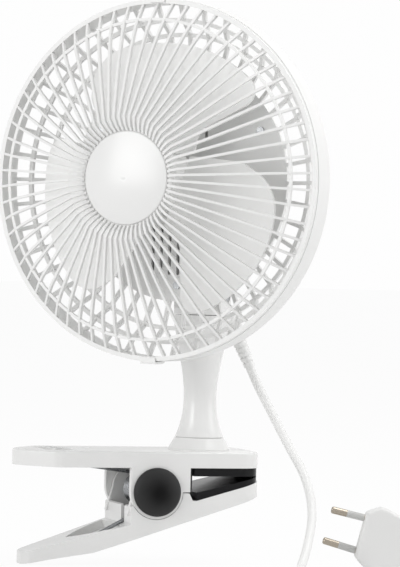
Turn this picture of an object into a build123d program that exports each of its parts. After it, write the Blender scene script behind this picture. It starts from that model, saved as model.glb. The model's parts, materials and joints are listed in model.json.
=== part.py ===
from build123d import *
import os
from math import acos, asin, atan2, cos, degrees, hypot, pi, radians, sin, sqrt, tan

# Clip fan, about 15 cm blade sweep. Millimetres, +Z up.
# The origin is the centre of the upper gripping pad's lower face. The clip lies along X:
# its mouth opens towards +X and its handles point to -X. The fan is drawn swivelled as it stands.

os.makedirs("parts", exist_ok=True)

# ---------------------------------------------------------------- driving dimensions

# clip, seen from above
clip_width = 52.0
nose_x = 20.0
nose_corner = 12.0
shoulder_x = -98.0
shoulder_corner = 8.0
handle_apex_x = -120.0
handle_tip_corner = 14.0

# upper jaw
pad_thickness = 4.5
plate_thickness = 8.8
plate_skin = 2.2
plate_wall = 1.8
plate_edge_round = 1.2
pad_back_x = -19.5
pad_inset = 0.6
bumper_thickness = 1.8
bumper_drop = 12.5

# handle compartment and its cover
compartment_front_x = -74.0
cover_thickness = 2.0
cover_gap = 0.15
ledge = 1.4
post_radius = 3.4
screw_radius = 1.1
screw_head_radius = 2.1
screw_head = 1.2
front_post_x = -79.5
front_post_y = 17.0
tip_post_x = -106.0
duct_radius = 2.2

# hinge
hinge_x = -41.0
hinge_z = -8.7
ear_radius = 14.8
ear_thickness = 3.6
ear_front_x = -22.0
inner_ear_radius = 11.6
inner_ear_thickness = 3.4
hinge_pin_radius = 3.0
running_gap = 0.05
side_gap = 0.3
cap_radius = 13.3
cap_height = 5.4
cap_grip = 2.5

# lower jaw
grip_gap = 0.12
pad_top_back_z = -8.9
seat_back_z = -13.4
seat_front_z = -2.8
jaw_nose_bottom_z = -11.0
jaw_waist_x = -50.0
jaw_waist_z = -33.6
horn_x = -55.2
horn_top_z = -17.0
handle_start_z = -26.6
handle_slope = 16.4
handle_length = 56.0
handle_start_thickness = 9.6
handle_end_thickness = 6.6
handle_end_width = 17.0
handle_end_corner = 7.8
tray_depth = 4.6
tray_width = 43.0
tray_start_x = -58.0
tray_end_x = -85.0

# clip spring
spring_wire = 1.1
spring_radius = 8.2
spring_turns = 6
spring_pitch = 2.9
upper_leg_x = -69.0
lower_leg_x = -75.0

# switch
button_x = -93.0
button_pitch = 10.5
button_length = 7.6
button_width = 6.4
button_gap = 0.2
button_rise = 0.4
button_travel = 1.4
flange_lip_long = 0.6
flange_lip_wide = 1.2
flange_height = 1.3
panel_length = 35.0
panel_width = 15.0
panel_thickness = 0.8
switch_length = 34.0
switch_width = 14.0
switch_floor = 0.8
switch_tab = 5.6
switch_screw_y = 20.2

# neck and collar
neck_x = -9.3
collar_radius = 17.1
collar_top_radius = 13.7
collar_height = 6.7
neck_foot_radius = 13.4
neck_groove = 0.8
neck_groove_height = 0.6
neck_waist_radius = 9.25
neck_waist_height = 33.4
neck_flare_radius = 12.9
neck_flare_height = 56.7
neck_top_radius = 15.8
neck_height = 74.7
neck_rim = 2.0
neck_wall = 2.4
neck_floor = 4.0
neck_deck = 3.0
tenon_radius = 11.6
fit_gap = 0.2
foot_screw_along = 6.5
foot_screw_across = 5.5
neck_screw_heights = (16.5, 48.0)
neck_boss_radius = 2.9
wire_hole_radius = 4.0
foot_pocket_radius = 12.0

# cord outlet on the neck
outlet_reach = 21.0
outlet_height = 63.2
outlet_lean = 24.8
outlet_radius = 5.0
outlet_length = 7.0
gland_plug = 5.0
gland_plug_radius = 3.3
gland_length = 18.0
gland_base_radius = 4.2
gland_end_radius = 3.0
gland_ribs = 5

# swivel and tilt
stem_radius = 6.0
stem_bore = 3.4
stem_drop = 3.4
ring_thickness = 1.5
ring_radius = 9.2
ring_groove = 0.7
yoke_gap = 0.4
yoke_base = 3.6
yoke_ear = 5.4
yoke_slot = 19.0
yoke_ear_radius = 8.4
tilt_rise = 11.0
tilt_bolt_radius = 3.0
bolt_head_radius = 4.4
bolt_head = 2.4
lug_gap = 0.2
lug_radius = 6.6

# fan head, along its own axis: radius outwards, height forwards from the rim's front edge
pivot_inset = 3.6
head_turn = 46.0
neck_to_rim = 57.6
rim_radius = 98.0
rim_depth = 13.0
rim_wall = 2.6
front_ring_height = 3.0
front_ring_width = 2.4
front_ring_inset = 0.4
front_rib_count = 66
front_rib_width = 1.3
front_rib_depth = 2.0
crest_radius = 33.0
crest_height = 37.2
corner_inset = 12.0
corner_height = 10.8
badge_radius = 25.0
badge_base_height = 32.0
badge_edge = 1.2
badge_dome = 2.4
rear_spoke_count = 42
rear_spoke_width = 2.0
rear_spoke_depth = 2.4
basket_inset = 18.0
basket_height = -23.2
basket_ring_inset = 11.0
basket_ring_height = -14.6
disc_inset = 14.5
disc_height = -30.0
disc_thickness = 2.6
slot_width = 1.8
slot_pitch = 5.2
slot_count = 7
slot_length = 27.0
slot_middle = 37.5
housing_wall = 2.4
housing_depth = 56.0
housing_back_round = 14.0
housing_screw_inset = 9.0
housing_post_radius = 3.4
vent_count = 7
vent_pitch = 5.6
vent_width = 2.2
vent_length = 34.0
clip_count = 2
clip_width_round = 9.0
clip_thickness = 1.2

# blades and motor
blade_count = 3
blade_turn = 2.0
blade_clearance = 5.5
blade_thickness = 1.8
blade_lead = 38.0
blade_lead_start = 42.0
blade_lead_corner = 21.0
blade_trail = 21.0
blade_trail_start = 27.6
blade_trail_sweep = 60.0
blade_trail_corner = 9.0
blade_bend = 12.0
blade_middle = 1.5
blade_slope = 10.0
blade_root_half = 36.0
blade_root_slope = 19.0
blade_sag = 6.0
hub_radius = 17.0
hub_front = 12.0
hub_back = -13.0
hub_wall = 2.5
hub_boss_radius = 6.0
nut_radius = 8.0
nut_length = 7.0
shaft_radius = 2.0
shaft_front = 17.0
rotor_radius = 12.0
rotor_length = 14.0
stator_width = 46.0
stator_top = 17.0
stator_bottom = -28.0
stator_middle = -52.0
stator_length = 16.0
window_width = 28.0
window_top = -14.2
window_bottom = -21.0
coil_margin = 0.15
coil_overhang = 4.6
coil_side = 7.5
air_gap = 0.35
bearing_length = 6.0
bearing_radius = 5.0
bracket_thickness = 2.0
bracket_height = 15.0
bracket_offset = 5.0
motor_screw_spread = 19.3
motor_screw_radius = 1.5
standoff_radius = 3.8

# cord and plug
cord_radius = 2.5
floor_z = -50.0
coil_radius = 39.0
coil_step = 5.7
coil_layer_turns = 3.5
coil_layer_rise = 5.7
coil_x = 18.3
coil_y = -191.9
plug_x = 73.6
plug_y = -37.4
plug_width = 34.6
plug_thickness = 13.7
plug_length = 38.0
plug_lift = 19.45
plug_tilt = 14.0
plug_taper = 14.0
relief_length = 14.0
relief_base_radius = 5.4
relief_end_radius = 3.1
relief_ribs = 4
pin_length = 19.0
pin_sleeve = 10.0
pin_radius = 2.0
pin_core_radius = 1.6
pin_spread = 18.6
pin_tip_spread = 17.5
pin_root = 8.0
view_turn = 18.0

# ---------------------------------------------------------------- places worked out from them

half_width = clip_width / 2
plate_bottom = pad_thickness
plate_top = plate_bottom + plate_thickness
skin_bottom = plate_top - plate_skin
cover_top = plate_bottom + cover_thickness
neck_top = plate_top + neck_height
collar_top = plate_top + collar_height
pivot_z = neck_top + tilt_rise
corner_radius = rim_radius - corner_inset
basket_radius = rim_radius - basket_inset
basket_ring_radius = rim_radius - basket_ring_inset
blade_radius = basket_radius - blade_clearance
disc_radius = basket_radius - disc_inset
housing_screw_circle = disc_radius - housing_screw_inset
slope = radians(handle_slope)
up = Vector(0, 0, 1)
facing = Vector(-sin(radians(head_turn)), -cos(radians(head_turn)), 0)
side = up.cross(facing)
fan_axis_z = pivot_z + disc_radius - pivot_inset
rim_centre = Vector(neck_x, 0, fan_axis_z) + facing * neck_to_rim
head_axis = Axis(rim_centre, facing)
neck_axis = Axis((neck_x, 0, 0), (0, 0, 1))
head = Plane(origin=rim_centre, x_dir=side, z_dir=facing)
neck_side = Plane(origin=(neck_x, 0, 0), x_dir=(1, 0, 0), z_dir=(0, -1, 0))
fork = Plane(origin=(neck_x, 0, pivot_z), x_dir=facing * -1, z_dir=side)


def head_radial(angle):
    """The plane through the fan's axis at this angle: x runs outwards and y forwards."""
    outward = side * cos(radians(angle)) + up * sin(radians(angle))
    return Plane(origin=rim_centre, x_dir=outward, z_dir=outward.cross(facing))


def band(points, depth):
    """A strip of this depth under a line of points, as one closed outline."""
    below = []
    for i, (x, y) in enumerate(points):
        before = points[max(i - 1, 0)]
        after = points[min(i + 1, len(points) - 1)]
        run = hypot(after[0] - before[0], after[1] - before[1])
        below.append((x + depth * (after[1] - before[1]) / run, y - depth * (after[0] - before[0]) / run))
    return points + below[::-1]


def clip_outline(inset=0.0):
    """The clip seen from above: square nose with round corners, handle drawn to a blunt tip."""
    with BuildSketch() as outline:
        with BuildLine():
            Polyline(
                (nose_x, half_width),
                (shoulder_x, half_width),
                (handle_apex_x, 0),
                (shoulder_x, -half_width),
                (nose_x, -half_width),
                close=True,
            )
        make_face()
        fillet(outline.vertices().group_by(Axis.X)[-1], nose_corner)
        fillet(outline.vertices().filter_by(lambda v: abs(v.X - shoulder_x) < 0.01), shoulder_corner)
        fillet(outline.vertices().sort_by(Axis.X)[0], handle_tip_corner)
        if inset:
            offset(amount=-inset)
    return outline.sketch


# ---------------------------------------------------------------- upper jaw: the plate and its ears

cover_posts = [(front_post_x, front_post_y), (front_post_x, -front_post_y), (tip_post_x, 0)]
foot_screws = [
    (neck_x + foot_screw_along, foot_screw_across),
    (neck_x + foot_screw_along, -foot_screw_across),
    (neck_x - foot_screw_along, foot_screw_across),
    (neck_x - foot_screw_along, -foot_screw_across),
]
buttons_y = [-button_pitch, 0.0, button_pitch]
panel_floor = plate_top - panel_thickness
foot_pocket_top = plate_top - plate_skin - 1.0

with BuildPart() as upper_jaw:
    with BuildSketch(Plane.XY.offset(plate_bottom)):
        add(clip_outline())
    extrude(amount=plate_thickness)
    fillet(upper_jaw.faces().sort_by(Axis.Z)[-1].edges(), plate_edge_round)
    with BuildSketch(
        Plane.XZ.offset(half_width), Plane.XZ.offset(ear_thickness - half_width)
    ):
        with Locations(((hinge_x - ear_radius + ear_front_x) / 2, (plate_bottom + hinge_z) / 2)):
            Rectangle(ear_front_x - hinge_x + ear_radius, plate_bottom - hinge_z)
        with Locations((hinge_x, hinge_z)):
            Circle(ear_radius)
            Circle(hinge_pin_radius, mode=Mode.SUBTRACT)
    extrude(amount=-ear_thickness)
    # compartment under the handle, with a seat for its cover
    with BuildSketch(Plane.XY.offset(plate_bottom)):
        add(clip_outline(plate_wall))
        with Locations((compartment_front_x + ledge - 100, 0)):
            Rectangle(200, clip_width, mode=Mode.INTERSECT)
    extrude(amount=cover_thickness, mode=Mode.SUBTRACT)
    with BuildSketch(Plane.XY.offset(cover_top)):
        add(clip_outline(plate_wall + ledge))
        with Locations((compartment_front_x - 100, 0)):
            Rectangle(200, clip_width, mode=Mode.INTERSECT)
        with Locations(*cover_posts):
            Circle(post_radius, mode=Mode.SUBTRACT)
    extrude(amount=skin_bottom - cover_top, mode=Mode.SUBTRACT)
    with BuildSketch(Plane.XY.offset(cover_top)):
        with Locations(*cover_posts):
            Circle(screw_radius)
    extrude(amount=skin_bottom - cover_top - 0.5, mode=Mode.SUBTRACT)
    # posts of the switch block
    with BuildSketch(Plane.XY.offset(skin_bottom - plate_skin)):
        with Locations((button_x, switch_screw_y), (button_x, -switch_screw_y)):
            Circle(2 * screw_radius)
            Circle(screw_radius, mode=Mode.SUBTRACT)
    extrude(amount=plate_skin)
    # button panel's seat and the button holes
    with BuildSketch(Plane.XY.offset(panel_floor)):
        with Locations((button_x, 0)):
            SlotOverall(panel_length, panel_width, rotation=90)
    extrude(amount=plate_thickness, mode=Mode.SUBTRACT)
    with BuildSketch(Plane.XY.offset(skin_bottom - 0.5)):
        with Locations(*[(button_x, y) for y in buttons_y]):
            RectangleRounded(button_width + 2 * button_gap, button_length + 2 * button_gap, 1.2)
    extrude(amount=plate_thickness, mode=Mode.SUBTRACT)
    # pocket for the neck's foot screws, wire hole and duct
    with BuildSketch(Plane.XY.offset(plate_bottom)):
        with Locations((neck_x, 0)):
            Circle(foot_pocket_radius)
    extrude(amount=foot_pocket_top - plate_bottom, mode=Mode.SUBTRACT)
    with BuildSketch(Plane.XY.offset(foot_pocket_top)):
        with Locations((neck_x, 0)):
            Circle(wire_hole_radius)
        with Locations(*foot_screws):
            Circle(screw_radius + fit_gap)
    extrude(amount=plate_thickness, mode=Mode.SUBTRACT)
    with BuildSketch(Plane.YZ.offset(compartment_front_x - 2)):
        with Locations((0, (plate_bottom + plate_top) / 2)):
            Circle(duct_radius)
    extrude(amount=neck_x - foot_pocket_radius - compartment_front_x + 4, mode=Mode.SUBTRACT)
upper_jaw.part.label = "upper_jaw"
export_step(upper_jaw.part, "parts/upper_jaw.step")

with BuildPart() as base_cover:
    with BuildSketch(Plane.XY.offset(plate_bottom)):
        add(clip_outline(plate_wall + cover_gap))
        with Locations((compartment_front_x + ledge - cover_gap - 100, 0)):
            Rectangle(200, clip_width, mode=Mode.INTERSECT)
        with Locations(*cover_posts):
            Circle(screw_radius + fit_gap, mode=Mode.SUBTRACT)
    extrude(amount=cover_thickness)
    with BuildSketch(Plane.XY.offset(plate_bottom)):
        with Locations(*cover_posts):
            Circle(screw_head_radius + fit_gap)
    extrude(amount=screw_head, mode=Mode.SUBTRACT)
base_cover.part.label = "base_cover"
export_step(base_cover.part, "parts/base_cover.step")

with BuildPart() as cover_screws:
    with BuildSketch(Plane.XY.offset(plate_bottom)):
        with Locations(*cover_posts):
            Circle(screw_head_radius)
            RectangleRounded(2.2, 0.5, 0.2, mode=Mode.SUBTRACT)
            RectangleRounded(0.5, 2.2, 0.2, mode=Mode.SUBTRACT)
    extrude(amount=screw_head / 2)
    with BuildSketch(Plane.XY.offset(plate_bottom + screw_head / 2)):
        with Locations(*cover_posts):
            Circle(screw_head_radius)
    extrude(amount=screw_head / 2)
    with BuildSketch(Plane.XY.offset(plate_bottom + screw_head)):
        with Locations(*cover_posts):
            Circle(screw_radius)
    extrude(amount=skin_bottom - plate_bottom - screw_head - 1.0)
cover_screws.part.label = "cover_screws"
export_step(cover_screws.part, "parts/cover_screws.step")

with BuildPart() as upper_pad:
    with BuildSketch():
        add(clip_outline(pad_inset))
        with Locations((pad_back_x + 100, 0)):
            Rectangle(200, clip_width, mode=Mode.INTERSECT)
    extrude(amount=pad_thickness)
upper_pad.part.label = "upper_pad"
export_step(upper_pad.part, "parts/upper_pad.step")

with BuildPart() as throat_bumper:
    with BuildSketch(Plane.XY.offset(plate_bottom)):
        with Locations((pad_back_x - side_gap - bumper_thickness / 2, 0)):
            Rectangle(bumper_thickness, clip_width - 2 * ear_thickness - 2 * side_gap)
    extrude(amount=-bumper_drop)
throat_bumper.part.label = "throat_bumper"
export_step(throat_bumper.part, "parts/throat_bumper.step")

# ---------------------------------------------------------------- lower jaw, its pad and the hinge

seat_slope = (seat_front_z - seat_back_z) / (nose_x - pad_back_x - 1.5)
inner_ear_face = half_width - ear_thickness - side_gap
spring_room = inner_ear_face - inner_ear_thickness
handle_end_x = horn_x - handle_length
handle_end_z = handle_start_z - tan(slope) * handle_length

tray_plane = Plane(
    origin=(tray_start_x, 0, handle_start_z - tan(slope) * (horn_x - tray_start_x)),
    x_dir=(-cos(slope), 0, -sin(slope)),
    z_dir=(-sin(slope), 0, cos(slope)),
)
tray_run = (tray_start_x - tray_end_x) / cos(slope)
tray_floor_z = handle_start_z - tan(slope) * (horn_x - lower_leg_x) - tray_depth / cos(slope)
leg_y = (spring_turns + 0.4) * spring_pitch / 2


def leg_angle(end_x, end_z, sign):
    """Slope of a spring leg that runs from this end and just touches the coil's circle."""
    reach = hypot(end_x - hinge_x, end_z - hinge_z)
    lift = atan2(sign * (end_z - hinge_z), hinge_x - end_x)
    return lift - asin(spring_radius / reach)


lower_leg_z = tray_floor_z + (spring_wire + 0.15) / cos(slope)
upper_leg_z = plate_bottom - spring_wire - 0.15
lower_lean = leg_angle(lower_leg_x, lower_leg_z, -1)
upper_lean = leg_angle(upper_leg_x, upper_leg_z, 1)


def leg_z_at(x):
    """Height of the lower spring leg's middle line."""
    return lower_leg_z + tan(lower_lean) * (x - lower_leg_x)


with BuildPart() as lower_jaw:
    with BuildSketch(Plane.XZ.offset(half_width)):
        with BuildLine():
            Polyline(
                (nose_x, jaw_nose_bottom_z),
                (nose_x, seat_front_z),
                (pad_back_x + 1.5, seat_back_z),
                (pad_back_x - 0.8, seat_back_z),
                (pad_back_x - 2.8, seat_back_z + 4.0),
                (hinge_x, hinge_z),
                (horn_x, horn_top_z),
                (horn_x, handle_start_z),
                (handle_end_x, handle_end_z),
                (handle_end_x - 0.4, handle_end_z - handle_end_thickness),
                (handle_end_x + 16.0, handle_end_z - handle_end_thickness + 3.5),
                (handle_end_x + 37.0, handle_end_z - handle_end_thickness + 7.4),
                (jaw_waist_x - 9.0, jaw_waist_z - 3.2),
                (jaw_waist_x, jaw_waist_z),
                close=True,
            )
        make_face()
    extrude(amount=-clip_width)
    # seen from above: the nose as on the upper jaw, the handle narrowing to a round end
    with BuildSketch(Plane.XY.offset(floor_z - 5)) as jaw_plan:
        with BuildLine():
            Polyline(
                (nose_x, half_width),
                (horn_x + 3.0, half_width),
                (handle_end_x, handle_end_width / 2),
                (handle_end_x, -handle_end_width / 2),
                (horn_x + 3.0, -half_width),
                (nose_x, -half_width),
                close=True,
            )
        make_face()
        fillet(jaw_plan.vertices().group_by(Axis.X)[-1], nose_corner)
        fillet(jaw_plan.vertices().group_by(Axis.X)[0], handle_end_corner)
        fillet(jaw_plan.vertices().filter_by(lambda v: abs(v.X - horn_x - 3.0) < 0.01), 30.0)
    extrude(amount=60, mode=Mode.INTERSECT)
    # room for the upper ears, and inside for the spring
    with BuildSketch(Plane.XZ.offset(half_width)):
        with Locations((hinge_x, hinge_z)):
            Circle(ear_radius + side_gap)
    extrude(amount=-clip_width, mode=Mode.SUBTRACT)
    with BuildSketch(
        Plane.XZ.offset(inner_ear_face), Plane.XZ.offset(-spring_room)
    ):
        with Locations((hinge_x, hinge_z)):
            Circle(inner_ear_radius)
            Polygon(
                (-inner_ear_radius, 0),
                (-inner_ear_radius - 4.0, -13.0),
                (inner_ear_radius + 4.0, -13.0),
                (inner_ear_radius, 0),
                align=None,
            )
    extrude(amount=-inner_ear_thickness)
    # tray in the handle, a pointed oval seen from above
    with BuildSketch(tray_plane):
        with BuildLine():
            Line((0, tray_width / 2), (0, -tray_width / 2))
            ThreePointArc((0, -tray_width / 2), (tray_run * 0.55, -tray_width * 0.3), (tray_run, 0))
            ThreePointArc((tray_run, 0), (tray_run * 0.55, tray_width * 0.3), (0, tray_width / 2))
        make_face()
    extrude(amount=-tray_depth, mode=Mode.SUBTRACT)
    # slot that lets the spring's leg through into the tray
    with BuildSketch(Plane.XZ.offset(leg_y + 3.0)):
        with BuildLine():
            Polyline(
                (hinge_x, hinge_z),
                (tray_start_x - 6.0, hinge_z),
                (tray_start_x - 6.0, leg_z_at(tray_start_x - 6.0) - 2 * spring_wire),
                (hinge_x + 4.0, leg_z_at(hinge_x + 4.0) - 2 * spring_wire),
                close=True,
            )
        make_face()
    extrude(amount=-6.0, mode=Mode.SUBTRACT)
    with BuildSketch(Plane.XZ.offset(half_width)):
        with Locations((hinge_x, hinge_z)):
            Circle(hinge_pin_radius + running_gap)
    extrude(amount=-clip_width, mode=Mode.SUBTRACT)
lower_jaw.part.label = "lower_jaw"
export_step(lower_jaw.part, "parts/lower_jaw.step")

seat_z_nose = seat_front_z - seat_slope * pad_inset
with BuildPart() as lower_pad:
    with BuildSketch(Plane.XZ.offset(half_width)):
        with BuildLine():
            Polyline(
                (nose_x - pad_inset, seat_z_nose),
                (nose_x - pad_inset, -grip_gap),
                (pad_back_x + 1.5, pad_top_back_z),
                (pad_back_x + 1.5, seat_back_z),
                close=True,
            )
        make_face()
    extrude(amount=-clip_width)
    with BuildSketch(Plane.XY.offset(floor_z)):
        add(clip_outline(pad_inset))
    extrude(amount=60, mode=Mode.INTERSECT)
lower_pad.part.label = "lower_pad"
export_step(lower_pad.part, "parts/lower_pad.step")

pin_half = half_width + cap_grip
with BuildPart() as hinge_pin:
    with BuildSketch(Plane.XZ.offset(pin_half)):
        with Locations((hinge_x, hinge_z)):
            Circle(hinge_pin_radius)
    extrude(amount=-2 * pin_half)
    chamfer(hinge_pin.edges().filter_by(GeomType.CIRCLE), 0.4)
hinge_pin.part.label = "hinge_pin"
export_step(hinge_pin.part, "parts/hinge_pin.step")


def hinge_cap(name, sign):
    """A round domed cap pressed on one end of the hinge pin."""
    outwards = Plane(
        origin=(hinge_x, sign * half_width, hinge_z), x_dir=(1, 0, 0), z_dir=(0, 0, sign)
    )
    with BuildPart() as cap:
        with BuildSketch(outwards):
            with BuildLine():
                Line((0, 0), (cap_radius, 0))
                Line((cap_radius, 0), (cap_radius, 1.4))
                Spline(
                    (cap_radius, 1.4),
                    (cap_radius * 0.62, cap_height * 0.82),
                    (0, cap_height),
                    tangents=((-0.5, 0.9), (-1, 0)),
                )
                Line((0, cap_height), (0, 0))
            make_face()
        revolve(axis=Axis((hinge_x, 0, hinge_z), (0, 1, 0)))
        with BuildSketch(Plane.XZ.offset(pin_half)):
            with Locations((hinge_x, hinge_z)):
                Circle(hinge_pin_radius)
        extrude(amount=-2 * pin_half, mode=Mode.SUBTRACT)
    cap.part.label = name
    export_step(cap.part, "parts/" + name + ".step")


hinge_cap("hinge_cap_near", -1)
hinge_cap("hinge_cap_far", 1)


def biarc(start, start_way, end, end_way):
    """Two arcs that run on from one another, from a point and direction to the next."""
    a = Vector(start_way).normalized()
    b = Vector(end_way).normalized()
    gap = Vector(end) - Vector(start)
    square = 2 * a.dot(b) - 2
    line = gap.dot(a + b)
    if abs(square) < 1e-9:
        reach = gap.dot(gap) / (2 * line)
    else:
        reach = (line - sqrt(line * line - square * gap.dot(gap))) / square
        if reach < 0:
            reach = (line + sqrt(line * line - square * gap.dot(gap))) / square
    first = Vector(start) + a * reach
    second = Vector(end) - b * reach
    middle = (first + second) * 0.5
    TangentArc(Vector(start), middle, tangent=a)
    TangentArc(middle, Vector(end), tangent=second - first)


def least_gap(points, radius, apart):
    """Least free distance between a winding tube and itself, from points along it."""
    least = 1e9
    for i, p in enumerate(points):
        for j in range(i + apart, len(points)):
            least = min(least, (p - points[j]).length)
    return least - 2 * radius


# ---------------------------------------------------------------- clip spring

spring_start = pi / 2 - upper_lean
spring_sweep = pi - upper_lean - lower_lean + 2 * pi * spring_turns


def spring_point(turn):
    """Point of the coil after this many radians, winding from +Y to -Y."""
    angle = spring_start - turn
    along = leg_y - spring_pitch * (turn / spring_sweep) * (spring_sweep / (2 * pi))
    return Vector(
        hinge_x + spring_radius * cos(angle),
        along,
        hinge_z + spring_radius * sin(angle),
    )


def spring_way(turn):
    """Direction of the coil there."""
    angle = spring_start - turn
    return Vector(
        spring_radius * sin(angle), -spring_pitch / (2 * pi), -spring_radius * cos(angle)
    )


spring_steps = 4 * spring_turns + 2
with BuildPart() as clip_spring:
    with BuildLine() as spring_line:
        leg_in = Vector(cos(upper_lean), 0, -sin(upper_lean))
        leg_out = Vector(-cos(lower_lean), 0, -sin(lower_lean))
        first_point = spring_point(0)
        last_point = spring_point(spring_sweep)
        Line(Vector(upper_leg_x, leg_y, upper_leg_z), first_point)
        for i in range(spring_steps):
            t0 = spring_sweep * i / spring_steps
            t1 = spring_sweep * (i + 1) / spring_steps
            way0 = leg_in if i == 0 else spring_way(t0)
            way1 = leg_out if i == spring_steps - 1 else spring_way(t1)
            biarc(spring_point(t0), way0, spring_point(t1), way1)
        Line(last_point, Vector(lower_leg_x, last_point.Y, lower_leg_z))
    with BuildSketch(Plane(origin=spring_line.line @ 0, z_dir=leg_in)):
        Circle(spring_wire)
    sweep(path=spring_line.line)
clip_spring.part.label = "clip_spring"
export_step(clip_spring.part, "parts/clip_spring.step")
spring_track = [spring_point(spring_sweep * i / 400) for i in range(401)]
print("clip spring gap", round(least_gap(spring_track, spring_wire, 30), 2))
spring_length = sum(edge.length for edge in spring_line.edges())
print("clip spring volume", round(clip_spring.part.volume), round(pi * spring_wire**2 * spring_length))

# ---------------------------------------------------------------- buttons, their panel and the switch

flange_top = skin_bottom - button_gap
flange_bottom = flange_top - flange_height
cap_top = plate_top + button_rise
well_floor = flange_bottom - button_travel - button_gap

with BuildPart() as button_panel:
    with BuildSketch(Plane.XY.offset(panel_floor)):
        with Locations((button_x, 0)):
            SlotOverall(panel_length - 2 * cover_gap, panel_width - 2 * cover_gap, rotation=90)
        with Locations(*[(button_x, y) for y in buttons_y]):
            RectangleRounded(
                button_width + 2 * button_gap, button_length + 2 * button_gap, 1.2, mode=Mode.SUBTRACT
            )
    extrude(amount=panel_thickness)
button_panel.part.label = "button_panel"
export_step(button_panel.part, "parts/button_panel.step")


def push_button(name, y):
    """A push button: a cap above the skin and a wider flange under it."""
    with BuildPart() as button:
        with BuildSketch(Plane.XY.offset(flange_bottom)):
            with Locations((button_x, y)):
                RectangleRounded(
                    button_width + 2 * flange_lip_wide, button_length + 2 * flange_lip_long, 1.0
                )
        extrude(amount=flange_height)
        with BuildSketch(Plane.XY.offset(flange_top)):
            with Locations((button_x, y)):
                RectangleRounded(button_width, button_length, 1.0)
        extrude(amount=cap_top - flange_top)
        fillet(button.faces().sort_by(Axis.Z)[-1].edges(), 0.5)
    button.part.label = name
    export_step(button.part, "parts/" + name + ".step")


push_button("button_off", buttons_y[0])
push_button("button_low", buttons_y[1])
push_button("button_high", buttons_y[2])

switch_bottom = cover_top + cover_gap
switch_top = skin_bottom - 0.1
with BuildPart() as switch_body:
    with BuildSketch(Plane.XY.offset(switch_bottom)):
        with Locations((button_x, 0)):
            RectangleRounded(switch_width, switch_length, 1.0)
    extrude(amount=switch_top - switch_bottom)
    with BuildSketch(Plane.XY.offset(switch_bottom + screw_head)):
        with Locations((button_x, 0)):
            RectangleRounded(8.0, switch_length + 2 * switch_tab, 2.0)
            with Locations((0, switch_screw_y), (0, -switch_screw_y)):
                Circle(screw_radius + 0.1, mode=Mode.SUBTRACT)
    extrude(amount=skin_bottom - plate_skin - switch_bottom - screw_head)
    with BuildSketch(Plane.XY.offset(well_floor)):
        with Locations(*[(button_x, y) for y in buttons_y]):
            RectangleRounded(
                button_width + 2 * flange_lip_wide + 2 * button_gap,
                button_length + 2 * flange_lip_long + 2 * button_gap,
                1.2,
            )
    extrude(amount=plate_thickness, mode=Mode.SUBTRACT)
switch_body.part.label = "switch_body"
export_step(switch_body.part, "parts/switch_body.step")

with BuildPart() as switch_screws:
    with BuildSketch(Plane.XY.offset(switch_bottom)):
        with Locations((button_x, switch_screw_y), (button_x, -switch_screw_y)):
            Circle(screw_head_radius - 0.2)
    extrude(amount=screw_head)
    with BuildSketch(Plane.XY.offset(switch_bottom + screw_head)):
        with Locations((button_x, switch_screw_y), (button_x, -switch_screw_y)):
            Circle(screw_radius)
    extrude(amount=skin_bottom - switch_bottom - screw_head)
switch_screws.part.label = "switch_screws"
export_step(switch_screws.part, "parts/switch_screws.step")

# ---------------------------------------------------------------- collar and neck

with BuildPart() as base_collar:
    with BuildSketch(neck_side):
        with BuildLine():
            Polyline(
                (tenon_radius + fit_gap, plate_top),
                (collar_radius, plate_top),
                (collar_radius, plate_top + 0.8),
                (collar_top_radius, collar_top),
                (tenon_radius + fit_gap, collar_top),
                close=True,
            )
        make_face()
    revolve(axis=neck_axis)
base_collar.part.label = "base_collar"
export_step(base_collar.part, "parts/base_collar.step")

outlet_mouth = Vector(neck_x + outlet_reach, 0, plate_top + outlet_height)
outlet_way = Vector(sin(radians(outlet_lean)), 0, -cos(radians(outlet_lean)))
outlet_root = outlet_mouth - outlet_way * outlet_length
waist_z = plate_top + neck_waist_height
flare_z = plate_top + neck_flare_height
neck_screws_z = [plate_top + h for h in neck_screw_heights]


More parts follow.
